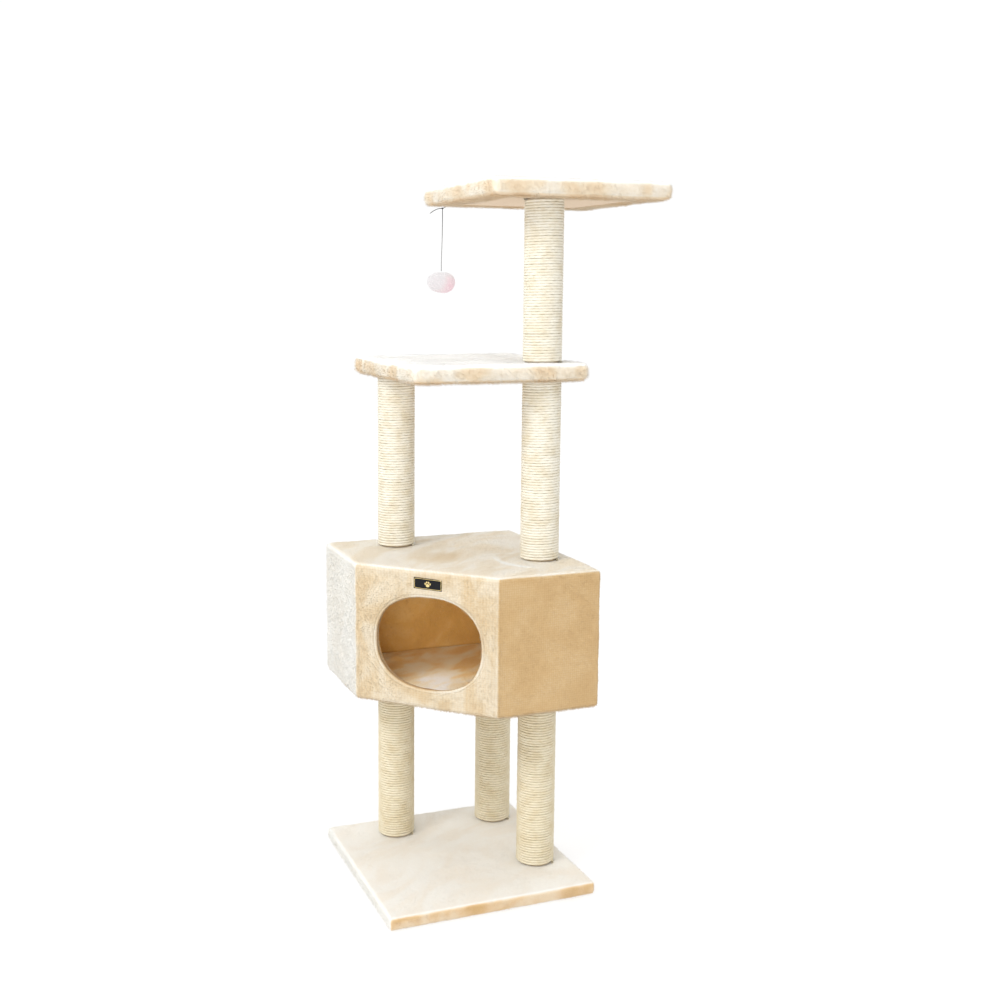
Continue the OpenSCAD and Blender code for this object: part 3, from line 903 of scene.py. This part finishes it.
def strands(name, root, aim, lengths, width, tones, materials, rng, droop=0.15):
    """A closed spike from each root, all in one object."""
    count = len(root)
    side = unit(np.cross(aim, rng.normal(0, 1, (count, 3))))
    other = np.cross(aim, side)
    angles = np.radians([90, 210, 330])
    feet = [root + width / 2 * (math.cos(a) * side + math.sin(a) * other) for a in angles]
    tip = root + aim * lengths[:, None] - np.array([0, 0, droop]) * lengths[:, None]
    points = np.stack([*feet, tip], axis=1).reshape(-1, 3)
    points[:, 2] = np.maximum(points[:, 2], 0)
    corners = np.array([[0, 1, 3], [1, 2, 3], [2, 0, 3], [2, 1, 0]])
    tris = ((np.arange(count) * 4)[:, None, None] + corners[None]).reshape(-1, 3)
    return make_object(name, points, [tris], *materials, tones=np.repeat(tones, 4))


def pile(name, skin, quads, materials, density, length, panels, seed, rim=0.25, where=None,
         width=0.5 * MM, lean=0.7, clump=0.15, hang=0.0, extra=None):
    """Fibres on a skin, leaning in brushed patches. density is fibres for each square cm."""
    rng = np.random.default_rng(seed)
    a, b, c, d = (skin[quads[:, k]] for k in range(4))
    area = np.linalg.norm(np.cross(c - a, d - b), axis=1).sum() / 2
    root, normal = sample_skin(skin, quads, round(area * 1e4 * density), rng)
    fine = clear_of_posts(root, 0.8 * MM)
    if where is not None:
        fine &= where(root, normal)
    root, normal = root[fine], normal[fine]
    count = len(root)
    brushed = np.column_stack([smooth_noise(root, 60 * MM, seed + k * 17.3) for k in range(3)])
    clumped = np.column_stack([smooth_noise(root, 8 * MM, seed + k * 9.1) for k in range(3)])
    upward = np.clip(normal[:, 2], 0, 1)
    clump = (clump * (1 - 0.75 * upward))[:, None]
    sway = brushed * 1.6 + clumped * clump * 4 + rng.normal(0, 0.11, (count, 3))
    sway -= normal * np.sum(sway * normal, axis=1, keepdims=True)
    aim = unit(normal + lean * sway + np.array([0, 0, -hang]))
    lengths = length * rng.uniform(0.65, 1.1, count) * (1 + clump[:, 0] * clumped[:, 0])
    # Each fibre's tone: painted light and shade by the way the skin faces, painted rim highlights,
    # brush marks and random clumps
    tone = nap_light_and_shade(root, normal, panels, seed, rim) + clump[:, 0] * 0.5 * clumped[:, 1]
    tone += rng.normal(0, 0.045, count)
    lengths *= 1 - 0.3 * upward
    if extra is not None:
        tone += extra(root)
    step = np.clip(np.round(tone * (TONES - 1)), 0, TONES - 1)
    return strands(name, root - normal * 0.4 * MM, aim, lengths, width, step, materials, rng)


# ---- Rope ----

ROPE_R, ROPE_REACH = 2.5 * MM, 1.5 * MM
ROPE_LAY = 17 * MM
LOW_STAPLE, HIGH_STAPLE = math.radians(-30), math.radians(150)
PAST_STAPLE = math.radians(17)


def rope_wrap(post, sisal, fibre, seed):
    """Sisal wound up a post: one helix of three-stranded rope."""
    low, high, middle = rope_box(post)
    low_z, high_z = low[2] - ROPE_REACH, high[2] + ROPE_REACH
    winding_r = (high[0] - low[0]) / 2 - ROPE_R
    start, end = LOW_STAPLE - PAST_STAPLE, HIGH_STAPLE + PAST_STAPLE
    turns = round((high_z - low_z) / (2 * ROPE_R)) - 1 + (end - start) / (2 * math.pi) - 1
    per_turn, around = 90, 10
    t = np.linspace(0, turns, round(turns * per_turn) + 1)
    angle = start + 2 * math.pi * t
    along = 2 * math.pi * winding_r * t
    wander = np.column_stack([t * 3.1, np.full(len(t), seed * 3.7), np.zeros(len(t))])
    height = low_z + ROPE_R + (high_z - low_z - 2 * ROPE_R) * t / turns
    height = height + 0.25 * MM * smooth_noise(wander, 1.0)
    flare = 2.2 * MM * (np.exp(-t * 45) + np.exp(-(turns - t) * 45))
    radius = winding_r + 0.2 * MM * smooth_noise(wander, 1.0, 31.0) + flare
    centre = np.column_stack([middle[0] + radius * np.cos(angle),
                              middle[1] + radius * np.sin(angle), height])
    outward = np.column_stack([np.cos(angle), np.sin(angle), np.zeros(len(t))])
    upward = np.tile([0.0, 0.0, 1.0], (len(t), 1))
    theta = np.linspace(0, 2 * math.pi, around, endpoint=False)
    twist = 2 * math.pi * along / ROPE_LAY
    turned = theta[None, :] - twist[:, None] / 3
    thick = ROPE_R * (1.03 + 0.07 * np.cos(3 * turned))
    thick = thick * (1 + 0.06 * smooth_noise(wander, 0.6, 7.0))[:, None]
    points = (centre[:, None] + thick[..., None] * (np.cos(theta)[None, :, None] * outward[:, None]
                                                    + np.sin(theta)[None, :, None]
                                                    * upward[:, None]))
    rows = len(t)
    quads = grid_quads(rows, around)
    u = np.repeat(along / (10 * MM), around).reshape(rows, around)
    v = turned / (2 * math.pi)
    corner_v = np.stack([v[:-1], v[1:], np.roll(v, -1, 1)[1:], np.roll(v, -1, 1)[:-1]], axis=-1)
    corner_v[:, -1, 2:] += 1
    corner_u = np.stack([u[:-1], u[1:], u[1:], u[:-1]], axis=-1)
    uvs = np.stack([corner_u, corner_v], axis=-1).reshape(-1, 4, 2)[:, ::-1].reshape(-1, 2)
    caps = end_caps(rows, around)
    uvs = np.concatenate([uvs, np.zeros((caps.size, 2))])
    skin = points.reshape(-1, 3)
    points = np.concatenate([skin, centre[:1], centre[-1:]])
    winding = make_object(post + "_winding", points, [quads[:, ::-1], caps], sisal, uvs=uvs)
    put_on(winding, TREE, "sisal_rope", post + "_rope")
    frayed_fibres(post, skin, quads[:, ::-1], (centre[0], centre[-1]), winding_r, fibre, seed)


def frayed_fibres(post, skin, quads, tips, winding_r, fibre, seed):
    """Loose fibres along a winding, and a frayed fan at each of its two tips."""
    _, _, middle = rope_box(post)
    rng = np.random.default_rng(seed)
    count, fan_count = 1500, 60
    root, normal = sample_skin(skin, quads, count, rng)
    tangent = unit(np.cross([0, 0, 1.0], normal))
    seen = (normal[:, :2] * (root - middle)[:, :2]).sum(axis=1) > 0.4 * winding_r
    aim = unit(normal * rng.uniform(0.15, 0.6, (count, 1)) + tangent * rng.choice([-1, 1], (count, 1))
               + rng.normal(0, 0.25, (count, 3)))
    roots, aims = [root[seen]], [aim[seen]]
    for place, sense in zip(tips, (-1, 1)):
        x, y, _ = place - middle
        spin, out = np.array([-y, x, 0]) / winding_r * sense, np.array([x, y, 0]) / winding_r
        aims.append(unit(spin + 0.35 * out + rng.normal(0, 0.28, (fan_count, 3))))
        roots.append(place + rng.normal(0, 0.9 * MM, (fan_count, 3)))
    root, aim = np.concatenate(roots), np.concatenate(aims)
    lengths = rng.uniform(3, 7, len(root)) * MM
    loose = strands(post + "_fuzz", root, aim, lengths, 0.3 * MM, np.zeros(len(root)), [fibre], rng)
    put_on(loose, TREE, "sisal_rope")


# ---- Toy ----

POMPOM_LOW, POMPOM_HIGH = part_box("toy_pompom")
KNOT_LOW, KNOT_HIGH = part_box("toy_knot")
KNOT = (KNOT_LOW + KNOT_HIGH) / 2
KNOT.x, KNOT.z = 0.043, 1.284
STRING_D = 1.4 * MM
STRING_ROUTE = [
    (43.0, 1284), (43.0, 1275), (43.1, 1267), (43.1, 1259), (43.0, 1251), (42.9, 1243),
    (42.8, 1235), (42.6, 1227), (42.4, 1219), (42.1, 1211), (41.8, 1203), (41.5, 1195),
    (41.3, 1187), (41.1, 1179), (41.0, 1171), (41.0, 1166), (41.0, 1160),
]
STUB_ROUTE = [(43.0, 1284), (45.4, 1285), (46.6, 1285.9), (48, 1286.5), (49.6, 1287.2)]
TAIL_ROUTE = [(43.0, 1284), (40.4, 1284), (37, 1283.8), (33, 1282.9), (29.3, 1281.6),
              (25, 1279.4), (21, 1277), (17.6, 1274.6)]


def toy_line(route, step=0.4 * MM):
    return smooth_line([(x * MM, KNOT.y, z * MM) for x, z in route], step)


def elastic_material():
    """Thin braided elastic, dark grey at the knot and paler below."""
    material, tree, shader = principled("elastic")
    place = object_place(tree)
    braid = noise_node(tree, stretched(tree, place, (1, 1, 2.5)), 900, 2)
    upper_grey = ramp_node(tree, braid, [(0.35, (0.015, 0.015, 0.018)), (0.7, (0.05, 0.05, 0.055))])
    lower_grey = ramp_node(tree, braid, [(0.35, (0.15, 0.15, 0.155)), (0.7, (0.30, 0.30, 0.31))])
    split = tree.nodes.new("ShaderNodeSeparateXYZ")
    tree.links.new(place, split.inputs["Vector"])
    fade = (KNOT.z - 20 * MM, KNOT.z - 60 * MM)
    paling = range_node(tree, split.outputs["Z"], fade, (0.0, 1.0))
    tree.links.new(mix_colours(tree, paling, upper_grey, lower_grey), shader.inputs["Base Color"])
    shader.inputs["Roughness"].default_value = 0.6
    bump(tree, shader, braid, 0.5, 0.2 * MM)
    return material


def elastic_cord(name, line, elastic):
    return tube(name, line, STRING_D / 2, elastic, 10, lobes=2, lay=3 * MM, ridge=0.08)


def make_toy():
    elastic = elastic_material()
    line = toy_line(STRING_ROUTE)
    string = elastic_cord("pompom_string", line, elastic)
    put_on(string, TOY, "elastic_string", "toy_string")

    turn = np.linspace(0, 2 * math.pi, 72, endpoint=False)
    trefoil = np.column_stack([np.sin(turn) + 2 * np.sin(2 * turn), -np.sin(3 * turn) * 1.1,
                               np.cos(turn) - 2 * np.cos(2 * turn)])
    knot_line = np.array(KNOT) + trefoil * 0.52 * MM
    knot = tube("string_knot", knot_line, 0.66 * MM, elastic, closed=True)
    put_on(knot, TOY, "elastic_string", "toy_knot")

    stub = elastic_cord("stub", toy_line(STUB_ROUTE), elastic)
    tail_line = toy_line(TAIL_ROUTE)
    tail = elastic_cord("tail", tail_line, elastic)
    rng = np.random.default_rng(5)
    along = unit(tail_line[-1] - tail_line[-4])
    count = 14
    fan = unit(along + rng.normal(0, 0.35, (count, 3)))
    roots, lengths = np.repeat(tail_line[-1:], count, axis=0), rng.uniform(1, 3, count) * MM
    wisps = strands("wisps", roots, fan, lengths, 0.3 * MM, np.zeros(count), [elastic], rng)
    ends = join("string_ends", [stub, tail, wisps])
    put_on(ends, "toy_end", "elastic_string", "toy_string_ends")

    fluff, pompom = make_pompom()


POM_TONES = [(0.97, 0.72, 0.77), (0.96, 0.79, 0.82), (0.94, 0.84, 0.85), (0.92, 0.88, 0.89),
             (0.91, 0.885, 0.895)]


def fluff_material(name, colour):
    # Most of the colour is a glow: painted light that stands in for light scattered in the fluff and
    # evens out its shading
    return glowing_material(name, tuple(0.36 * part for part in colour), colour, 0.63, 0.95)


def make_pompom():
    """A lumpy ball of fluff, white on the left and pink on the right and below."""
    centre = np.array((POMPOM_LOW + POMPOM_HIGH) / 2) - [1 * MM, 0, 0]
    half = np.array((POMPOM_HIGH - POMPOM_LOW) / 2) - 3.5 * MM
    rows, columns = 40, 56
    skin, quads = ball_skin(centre, np.diag(half), rows, columns, 0.14, 0.8, 4.4)
    notch = np.exp(-(((skin - centre)[:, :2] / (7 * MM)) ** 2).sum(axis=1))
    skin[:, 2] -= np.where(skin[:, 2] > centre[2], notch * 3 * MM, 0)
    inside = fluff_material("pompom_inside", (0.94, 0.84, 0.86))
    core = closed_skin("pompom_core", skin, quads, columns, inside)
    put_on(core, TOY, "pompom_plush", "toy_pompom")
    tones = [fluff_material(f"pompom_tone_{i}", colour) for i, colour in enumerate(POM_TONES)]
    rng = np.random.default_rng(21)
    root, normal = sample_skin(skin, quads, 26000, rng)
    clumped = np.column_stack([smooth_noise(root, 6 * MM, 3 + k * 9.1) for k in range(3)])
    aim = unit(normal + 0.7 * clumped + rng.normal(0, 0.3, root.shape))
    lengths = rng.uniform(2.5, 4.6, len(root)) * MM
    place = (root - centre) / half
    pale = 0.62 - 0.5 * place[:, 0] + 0.3 * place[:, 2]
    pale += 0.25 * smooth_noise(root, 16 * MM, 9.0) + 0.08 * clumped[:, 0]
    step = np.clip(np.round(pale * 4 + rng.normal(0, 0.15, len(root))), 0, 4)
    fluff = strands("pompom_fluff", root, aim, lengths, 0.5 * MM, step, tones, rng, 0.05)
    put_on(fluff, TOY, "pompom_plush")
    return fluff, core


# ---- Label ----

LABEL_TILT = math.radians(-1)
LABEL_W, LABEL_H = 56 * MM, 21 * MM
LABEL_LOW, LABEL_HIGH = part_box("condo_label")
LABEL_Z = (LABEL_LOW.z + LABEL_HIGH.z) / 2
UP = np.array([0, 0, 1.0])
LABEL_RIGHT = DOOR_RIGHT * math.cos(LABEL_TILT) + UP * math.sin(LABEL_TILT)
LABEL_ABOVE = UP * math.cos(LABEL_TILT) - DOOR_RIGHT * math.sin(LABEL_TILT)

# The paw's pads: how far right of and above the label's middle, and half their width and height
PAW_PADS = [(0, -2.4, 3.7, 2.8), (-4.8, 0.5, 1.4, 1.9), (-1.8, 3.2, 1.4, 2.0), (1.8, 3.2, 1.4, 2.0),
            (4.8, 0.5, 1.4, 1.9)]


def on_label(x, y, out):
    """Points on the bowed label, from distances to the right of, above and out from its middle."""
    middle = DOOR_FACE + DOOR_SHIFT * DOOR_RIGHT - DOOR_OUT * 0.6 * MM + UP * LABEL_Z
    bow = 0.5 * MM * np.cos(x / LABEL_W * math.pi * 0.9) * np.cos(y / LABEL_H * math.pi * 0.8)
    lift = out + bow + 0.25 * MM * np.sin(x * 260 + 1) * np.cos(y * 300)
    flat = middle + np.multiply.outer(x, LABEL_RIGHT) + np.multiply.outer(y, LABEL_ABOVE)
    return flat + np.multiply.outer(lift, DOOR_OUT)


def label_cloth():
    """The label's black satin, with softened edges."""
    wide, tall = 41, 19
    x = np.linspace(-LABEL_W / 2, LABEL_W / 2, wide)[None, :].repeat(tall, 0)
    y = np.linspace(LABEL_H / 2, -LABEL_H / 2, tall)[:, None].repeat(wide, 1)
    points = np.concatenate([on_label(x, y, out * MM).reshape(-1, 3) for out in (0.9, 0.1)])
    grid = np.arange(wide * tall).reshape(tall, wide)
    cells = [grid[:-1, :-1], grid[1:, :-1], grid[1:, 1:], grid[:-1, 1:]]
    face = np.stack(cells, axis=-1).reshape(-1, 4)
    rim = np.concatenate([grid[0], grid[1:, -1], grid[-1, -2::-1], grid[-2:0:-1, 0]])
    follow = np.roll(rim, -1)
    sides = np.stack([rim, follow, follow + grid.size, rim + grid.size], axis=1)
    faces = np.concatenate([face, face[:, ::-1] + grid.size, sides])
    stops = [(0.3, (0.006, 0.006, 0.007)), (0.7, (0.02, 0.02, 0.022))]
    rise = (0.4, 0.15 * MM)
    satin = mottled_material("label_satin", stops, (900, 2), 0.7, rise, 0.12, (1, 1, 4))
    label = make_object("sewn_label", points, [faces], satin)
    soften_edges(label, 0.25 * MM)
    return label


def make_label():
    """A plain black woven label with a gold border and a paw, sewn to the plush."""
    label = label_cloth()
    inset = 1.7 * MM
    line = super_oval(LABEL_W / 2 - inset, LABEL_H / 2 - inset, 0.14, 260)
    stops = [(0.3, (0.55, 0.38, 0.10)), (0.7, (0.90, 0.74, 0.36))]
    gold = mottled_material("gold_thread", stops, (1400, 2), 0.4, (0.6, 0.15 * MM))
    things = [tube("border", on_label(line[:, 0], line[:, 1], 1.0 * MM), 0.42 * MM, gold,
                   closed=True, lobes=2, lay=2.2 * MM, ridge=0.25)]
    for number, pad in enumerate(PAW_PADS):
        x, y, half_w, half_h = np.array(pad) * MM
        axes = [LABEL_RIGHT * half_w, LABEL_ABOVE * half_h, DOOR_OUT * 0.55 * MM]
        skin, quads = ball_skin(on_label(x, y, 0.9 * MM), axes, 14, 20, 0.05, 0.4, number)
        things.append(closed_skin(f"pad_{number}", skin, quads, 20, gold))
    stitched = join("label_stitching", things)
    clad(label, [stitched], "label_fabric", ["condo_label"], (LABEL_W, LABEL_H), ["condo_cover"])


def off_the_label(points, normals):
    """True for places that the label doesn't cover."""
    across = (points - DOOR_FACE) @ DOOR_RIGHT - DOOR_SHIFT
    height = points[:, 2] - LABEL_Z - across * LABEL_TILT
    under_it = (np.abs(across) < LABEL_W / 2) & (np.abs(height) < LABEL_H / 2)
    return ~(under_it & (normals @ DOOR_OUT > 0.8))


# ---- Building ----

WINDOW_MARGIN = 45 * MM


def rectangle(low, high, inset):
    return np.array([[low.x + inset, low.y + inset], [high.x - inset, low.y + inset],
                     [high.x - inset, high.y - inset], [low.x + inset, high.y - inset]])


def make_base():
    plush, fibres = plush_material("base"), fibre_materials("base")
    # Tones by the way each face turns: painted light makes the top and the left face paler, painted
    # shade makes the front face deeper
    panels = {"up": (0.84, 0.08), "left": (0.95, 0.04), "front": (0.22, 0.22), "other": (0.4, 0.15)}
    window = 1 - WINDOW_MARGIN / BASE_HIGH.x
    corners = rectangle(BASE_LOW, BASE_HIGH, SKIN_IN)
    thing, skin, quads = cover("base_cover", corners, BASE_LOW.z, BASE_HIGH.z - SKIN_IN,
                               PLUSH - SKIN_IN, 3.5 * MM, 6.5 * MM, plush, 1.0, window,
                               0.5 * MM, 0.3 * MM)
    paint(thing, skin, quads, panels, 1)
    fur = pile("base_pile", skin, quads, fibres, 24, 4 * MM, panels, 1, clump=0.06,
               where=lambda p, n: p[:, 2] > 3 * MM)
    clad(thing, [fur], "plush_cream", ["base_plush"], (0.545, 0.545), ["base_board"])


# Their panels paint light on the tops, which are paler, and shade on the undersides, which are deeper
PLATFORMS = {
    "middle": dict(low=MIDDLE_LOW, high=MIDDLE_HIGH, flat=(0.49, 0.51), swell=0.8 * MM,
                   tuft=0.5 * MM, length=7 * MM, clump=0.12, hang=0.4, seed=2,
                   panels={"up": (1.0, 0.01), "down": (0.3, 0.1), "other": (0.55, 0.18)}),
    "top": dict(low=TOP_LOW, high=TOP_HIGH, flat=(0.51, 0.51), swell=0.8 * MM,
                tuft=0.35 * MM, length=5.2 * MM, clump=0.06, hang=0.2, seed=3,
                panels={"up": (0.85, 0.08), "down": (0.3, 0.1), "other": (0.55, 0.14)}),
}


def clear_of_toy(points, normals):
    """True for places away from the toy's staple."""
    low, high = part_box("toy_staple")
    return np.linalg.norm(points - np.array((low + high) / 2), axis=1) > 12 * MM


def make_platforms():
    plush, fibres = plush_material("platform"), fibre_materials("platform")
    for name, form in PLATFORMS.items():
        low, high, panels, seed = form["low"], form["high"], form["panels"], form["seed"]
        corners = rectangle(low, high, DEEP_SKIN_IN)
        window = 1 - WINDOW_MARGIN / ((high.x - low.x) / 2)
        thing, skin, quads = cover(f"{name}_cover", corners, low.z + DEEP_SKIN_IN,
                                   high.z - DEEP_SKIN_IN, DEEP_PLUSH - DEEP_SKIN_IN, 13 * MM,
                                   11 * MM, plush, seed * 3.3, window, form["swell"], form["tuft"])
        paint(thing, skin, quads, panels, seed)
        fur = pile(f"{name}_pile", skin, quads, fibres, 21, form["length"], panels, seed,
                   where=clear_of_toy, clump=form["clump"], hang=form["hang"], width=0.6 * MM)
        clad(thing, [fur], "plush_deep", [f"{name}_plush"], form["flat"], [f"{name}_board"])


# Tones by the way each face turns: painted light makes the roof and the left face paler, painted shade
# makes the front face and the underside deeper
CONDO_PANELS = {"up": (0.80, 0.09), "left": (0.97, 0.02), "door": (0.56, 0.11), "front": (0.22, 0.04),
                "down": (0.35, 0.1), "other": (0.5, 0.1)}
LINING_PANELS = {"other": (0.27, 0.1)}
# The floor pile facing up gets a paler tone than the ceiling's and the sides': painted light
FLOOR_PANELS = {"up": (0.58, 0.2), "other": (0.4, 0.2)}


def on_condo_side(points):
    return (points[:, 2] >= CONDO_LOW.z + 8 * MM) & (points[:, 2] <= CONDO_HIGH.z - 8 * MM)


def by_the_door(points):
    return points[:, 0] + points[:, 1] < -HALF + 6 * MM


def roof_marks(points):
    """Two strokes left in the roof's pile: a pale arc round the right post and a deeper patch."""
    _, _, post = rope_box("upper_right")
    x, y = points[:, 0] - post[0], points[:, 1] - post[1]
    bearing = np.degrees(np.arctan2(y, x)) % 360
    arc = np.exp(-((np.hypot(x, y) - 80 * MM) / (6 * MM)) ** 2)
    arc *= np.exp(-((bearing - 195) / 38) ** 4)
    patch = np.hypot((points[:, 0] + 37 * MM) / (58 * MM), (points[:, 1] + 5 * MM) / (42 * MM))
    on_top = points[:, 2] > CONDO_HIGH.z - 3 * MM
    return on_top * (0.3 * arc - 0.2 * np.exp(-patch ** 4))


CONDO_PARTS = {
    "roof": lambda p, n: p[:, 2] > CONDO_HIGH.z - 8 * MM,
    "under": lambda p, n: p[:, 2] < CONDO_LOW.z + 8 * MM,
    "door_wall": lambda p, n: on_condo_side(p) & by_the_door(p) & off_the_label(p, n),
    "right_wall": lambda p, n: on_condo_side(p) & ~by_the_door(p) & (p[:, 0] > p[:, 1]),
    "left_wall": lambda p, n: on_condo_side(p) & ~by_the_door(p) & (p[:, 0] <= p[:, 1]),
}
SHORT_NAP = dict(length=2.2 * MM, lean=0.3, clump=0.02, width=0.5 * MM)
LONG_NAP = dict(length=4.2 * MM, lean=0.4, clump=0.03, width=0.55 * MM)


def into_doorway(points):
    """How far points lie behind the door face."""
    return (DOOR_FACE - points) @ DOOR_OUT


def jamb_painted_shade(points):
    """Deepens the tone of the plush that is turned through the doorway: painted shade in the recess."""
    return -0.75 * np.clip((into_doorway(points) - 2 * MM) / (5 * MM), 0, 1)


def make_condo():
    plush, fibres = plush_material("condo", weave=0.065), fibre_materials("condo")
    thing, skin, quads = condo_cover(plush)
    paint(thing, skin, quads, CONDO_PANELS, 5, 0.12, roof_marks)
    furs = []
    for part, where in CONDO_PARTS.items():
        form = SHORT_NAP if part == "right_wall" else LONG_NAP
        furs.append(pile(f"condo_{part}_pile", skin, quads, fibres, 28, panels=CONDO_PANELS,
                         seed=5, rim=0.16, where=where, hang=0.1, extra=roof_marks, **form))
    nodes = ["condo_wall_plush", "condo_roof_plush", "condo_under_plush"]
    clad(thing, furs, "plush_condo", nodes, (1.5, 0.79), ["condo_door_wall", "condo_roof"],
         area=0.65)
    make_doorway(plush, fibres)


def make_doorway(plush, fibres):
    roll, skin, quads = door_roll(plush)
    # The roll's faces turned out of the doorway are paler, painted light; deeper in, its tone is
    # deepened with painted shade
    panels = {"other": (0.5, 0.12), "door": (0.64, 0.16)}
    paint(roll, skin, quads, panels, 5, 0.0, jamb_painted_shade)
    fur = pile("doorway_pile", skin, quads, fibres, 34, 3.6 * MM, panels, 5, 0.0,
               where=lambda p, n: into_doorway(p) < 14 * MM, extra=jamb_painted_shade)
    clad(roll, [fur], "plush_condo", ["door_trim"], (0.61, 0.034), ["condo_door_wall"])


def sill_light_pool(points):
    """A painted pool of light: the pile is paler just inside the doorway, where light falls in through
    it.
    """
    away = np.hypot(points[:, 0] + 75 * MM, points[:, 1] + 75 * MM) / (85 * MM)
    return 0.5 * np.exp(-away ** 2) * (points[:, 2] < DOOR_Z)


def make_room():
    plush, fibres = plush_material("lining"), fibre_materials("lining")
    thing, skin, quads = condo_wall_lining(plush)
    paint(thing, skin, quads, LINING_PANELS, 8, 0.0)
    fur = pile("room_wall_pile", skin, quads, fibres, 17, 4.5 * MM, LINING_PANELS, 10, 0.0,
               clump=0.25, hang=0.1)
    clad(thing, [fur], "plush_lining", ["condo_lining"], (1.39, 0.21), ["condo_door_wall"],
         area=0.26)
    room = inset_polygon(CONDO_CORNERS, ROOM_INSET)
    for name, board, facing in (("floor", "condo_floor", 1), ("ceiling", "condo_roof", -1)):
        node = f"condo_{name}_plush"
        low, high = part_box(node)
        thing, skin, quads = cover(f"room_{name}_pad", room, low.z, high.z, 0, 2 * MM, 1.5 * MM,
                                   plush, 20.0, swell=0.3 * MM, tuft=0.5 * MM)
        bulge_over_heads(thing, skin, facing)
        paint(thing, skin, quads, FLOOR_PANELS, 12, 0.0, sill_light_pool)
        fur = pile(f"room_{name}_pile", skin, quads, fibres, 20, 5.5 * MM, FLOOR_PANELS, 12, 0.0,
                   where=lambda p, n: n[:, 2] * facing > 0.3, clump=0.2, extra=sill_light_pool)
        clad(thing, [fur], "plush_lining", [node], (0.364, 0.364), [board], area=0.12)


def bulge_over_heads(thing, skin, facing):
    """Raises the plush over the bolt heads under it."""
    for post in ("lower_left", "lower_back", "lower_right"):
        _, _, middle = rope_box(post)
        away = np.hypot(skin[:, 0] - middle[0], skin[:, 1] - middle[1]) / (13 * MM)
        rise = 4.2 * MM * np.clip(1.35 - away, 0, 1) ** 0.5 * (away < 1.35)
        outside = skin[:, 2] * facing > (skin[:, 2] * facing).mean()
        skin[:, 2] += np.where(outside, rise * facing, 0)
    for index, point in enumerate(skin):
        thing.data.vertices[index].co = point


def make_ropes():
    # The lower posts get a darker, warmer copy of the sisal: painted shade under the condo; the other
    # posts get the unshaded copy
    unshaded_sisal = sisal_material("sisal", (0.93, 0.93, 0.95))
    shaded_sisal = sisal_material("sisal_painted_shade", (0.85, 0.81, 0.73))
    fibre = plain_material("sisal_fibre", (0.84, 0.76, 0.58), 0.8)
    for number, post in enumerate(POSTS):
        sisal = shaded_sisal if post.startswith("lower") else unshaded_sisal
        rope_wrap(post, sisal, fibre, number + 1)


def finish_frame_pieces():
    """Materials, and softened edges, for the CAD pieces that show as they are."""
    chipboard = board_material("chipboard", (0.62, 0.48, 0.30), (0.36, 0.25, 0.13), 260)
    pine = board_material("pine_plywood", (0.72, 0.55, 0.34), (0.58, 0.40, 0.22), 90)
    card = board_material("card", (0.52, 0.40, 0.26), (0.42, 0.31, 0.19), 160)
    zinc = metal_material("zinc", (0.62, 0.63, 0.65), 0.36)
    black = metal_material("black_steel", (0.035, 0.035, 0.038), 0.45, 0.6)
    brass = metal_material("brass", (0.80, 0.60, 0.25), 0.3)
    grey_felt = felt_material("grey_felt", (0.50, 0.46, 0.41), (0.36, 0.32, 0.28))
    pale_felt = felt_material("pale_felt", (0.76, 0.62, 0.47), (0.64, 0.48, 0.33))
    finishes = {
        "particle_board": (chipboard, 0.4 * MM), "plywood": (pine, 0.4 * MM),
        "cardboard_tube": (card, 0), "zinc_steel": (zinc, 0.3 * MM),
        "black_steel": (black, 0.2 * MM), "brass": (brass, 0.2 * MM),
        "base_felt": (grey_felt, 0), "platform_felt": (pale_felt, 0),
    }
    for entry in frame["record"]["subparts"]:
        slot, node = entry["material_slot"], frame["nodes"].get(entry["node"])
        if node is None or slot not in finishes:
            continue
        material, edge = finishes[slot]
        node.data.materials.clear()
        node.data.materials.append(material)
        if edge:
            soften_edges(node, edge)


make_camera()
make_world()
make_lights()
make_floor()
make_toy()
make_base()
make_platforms()
make_condo()
make_room()
make_label()
make_ropes()
finish_frame_pieces()
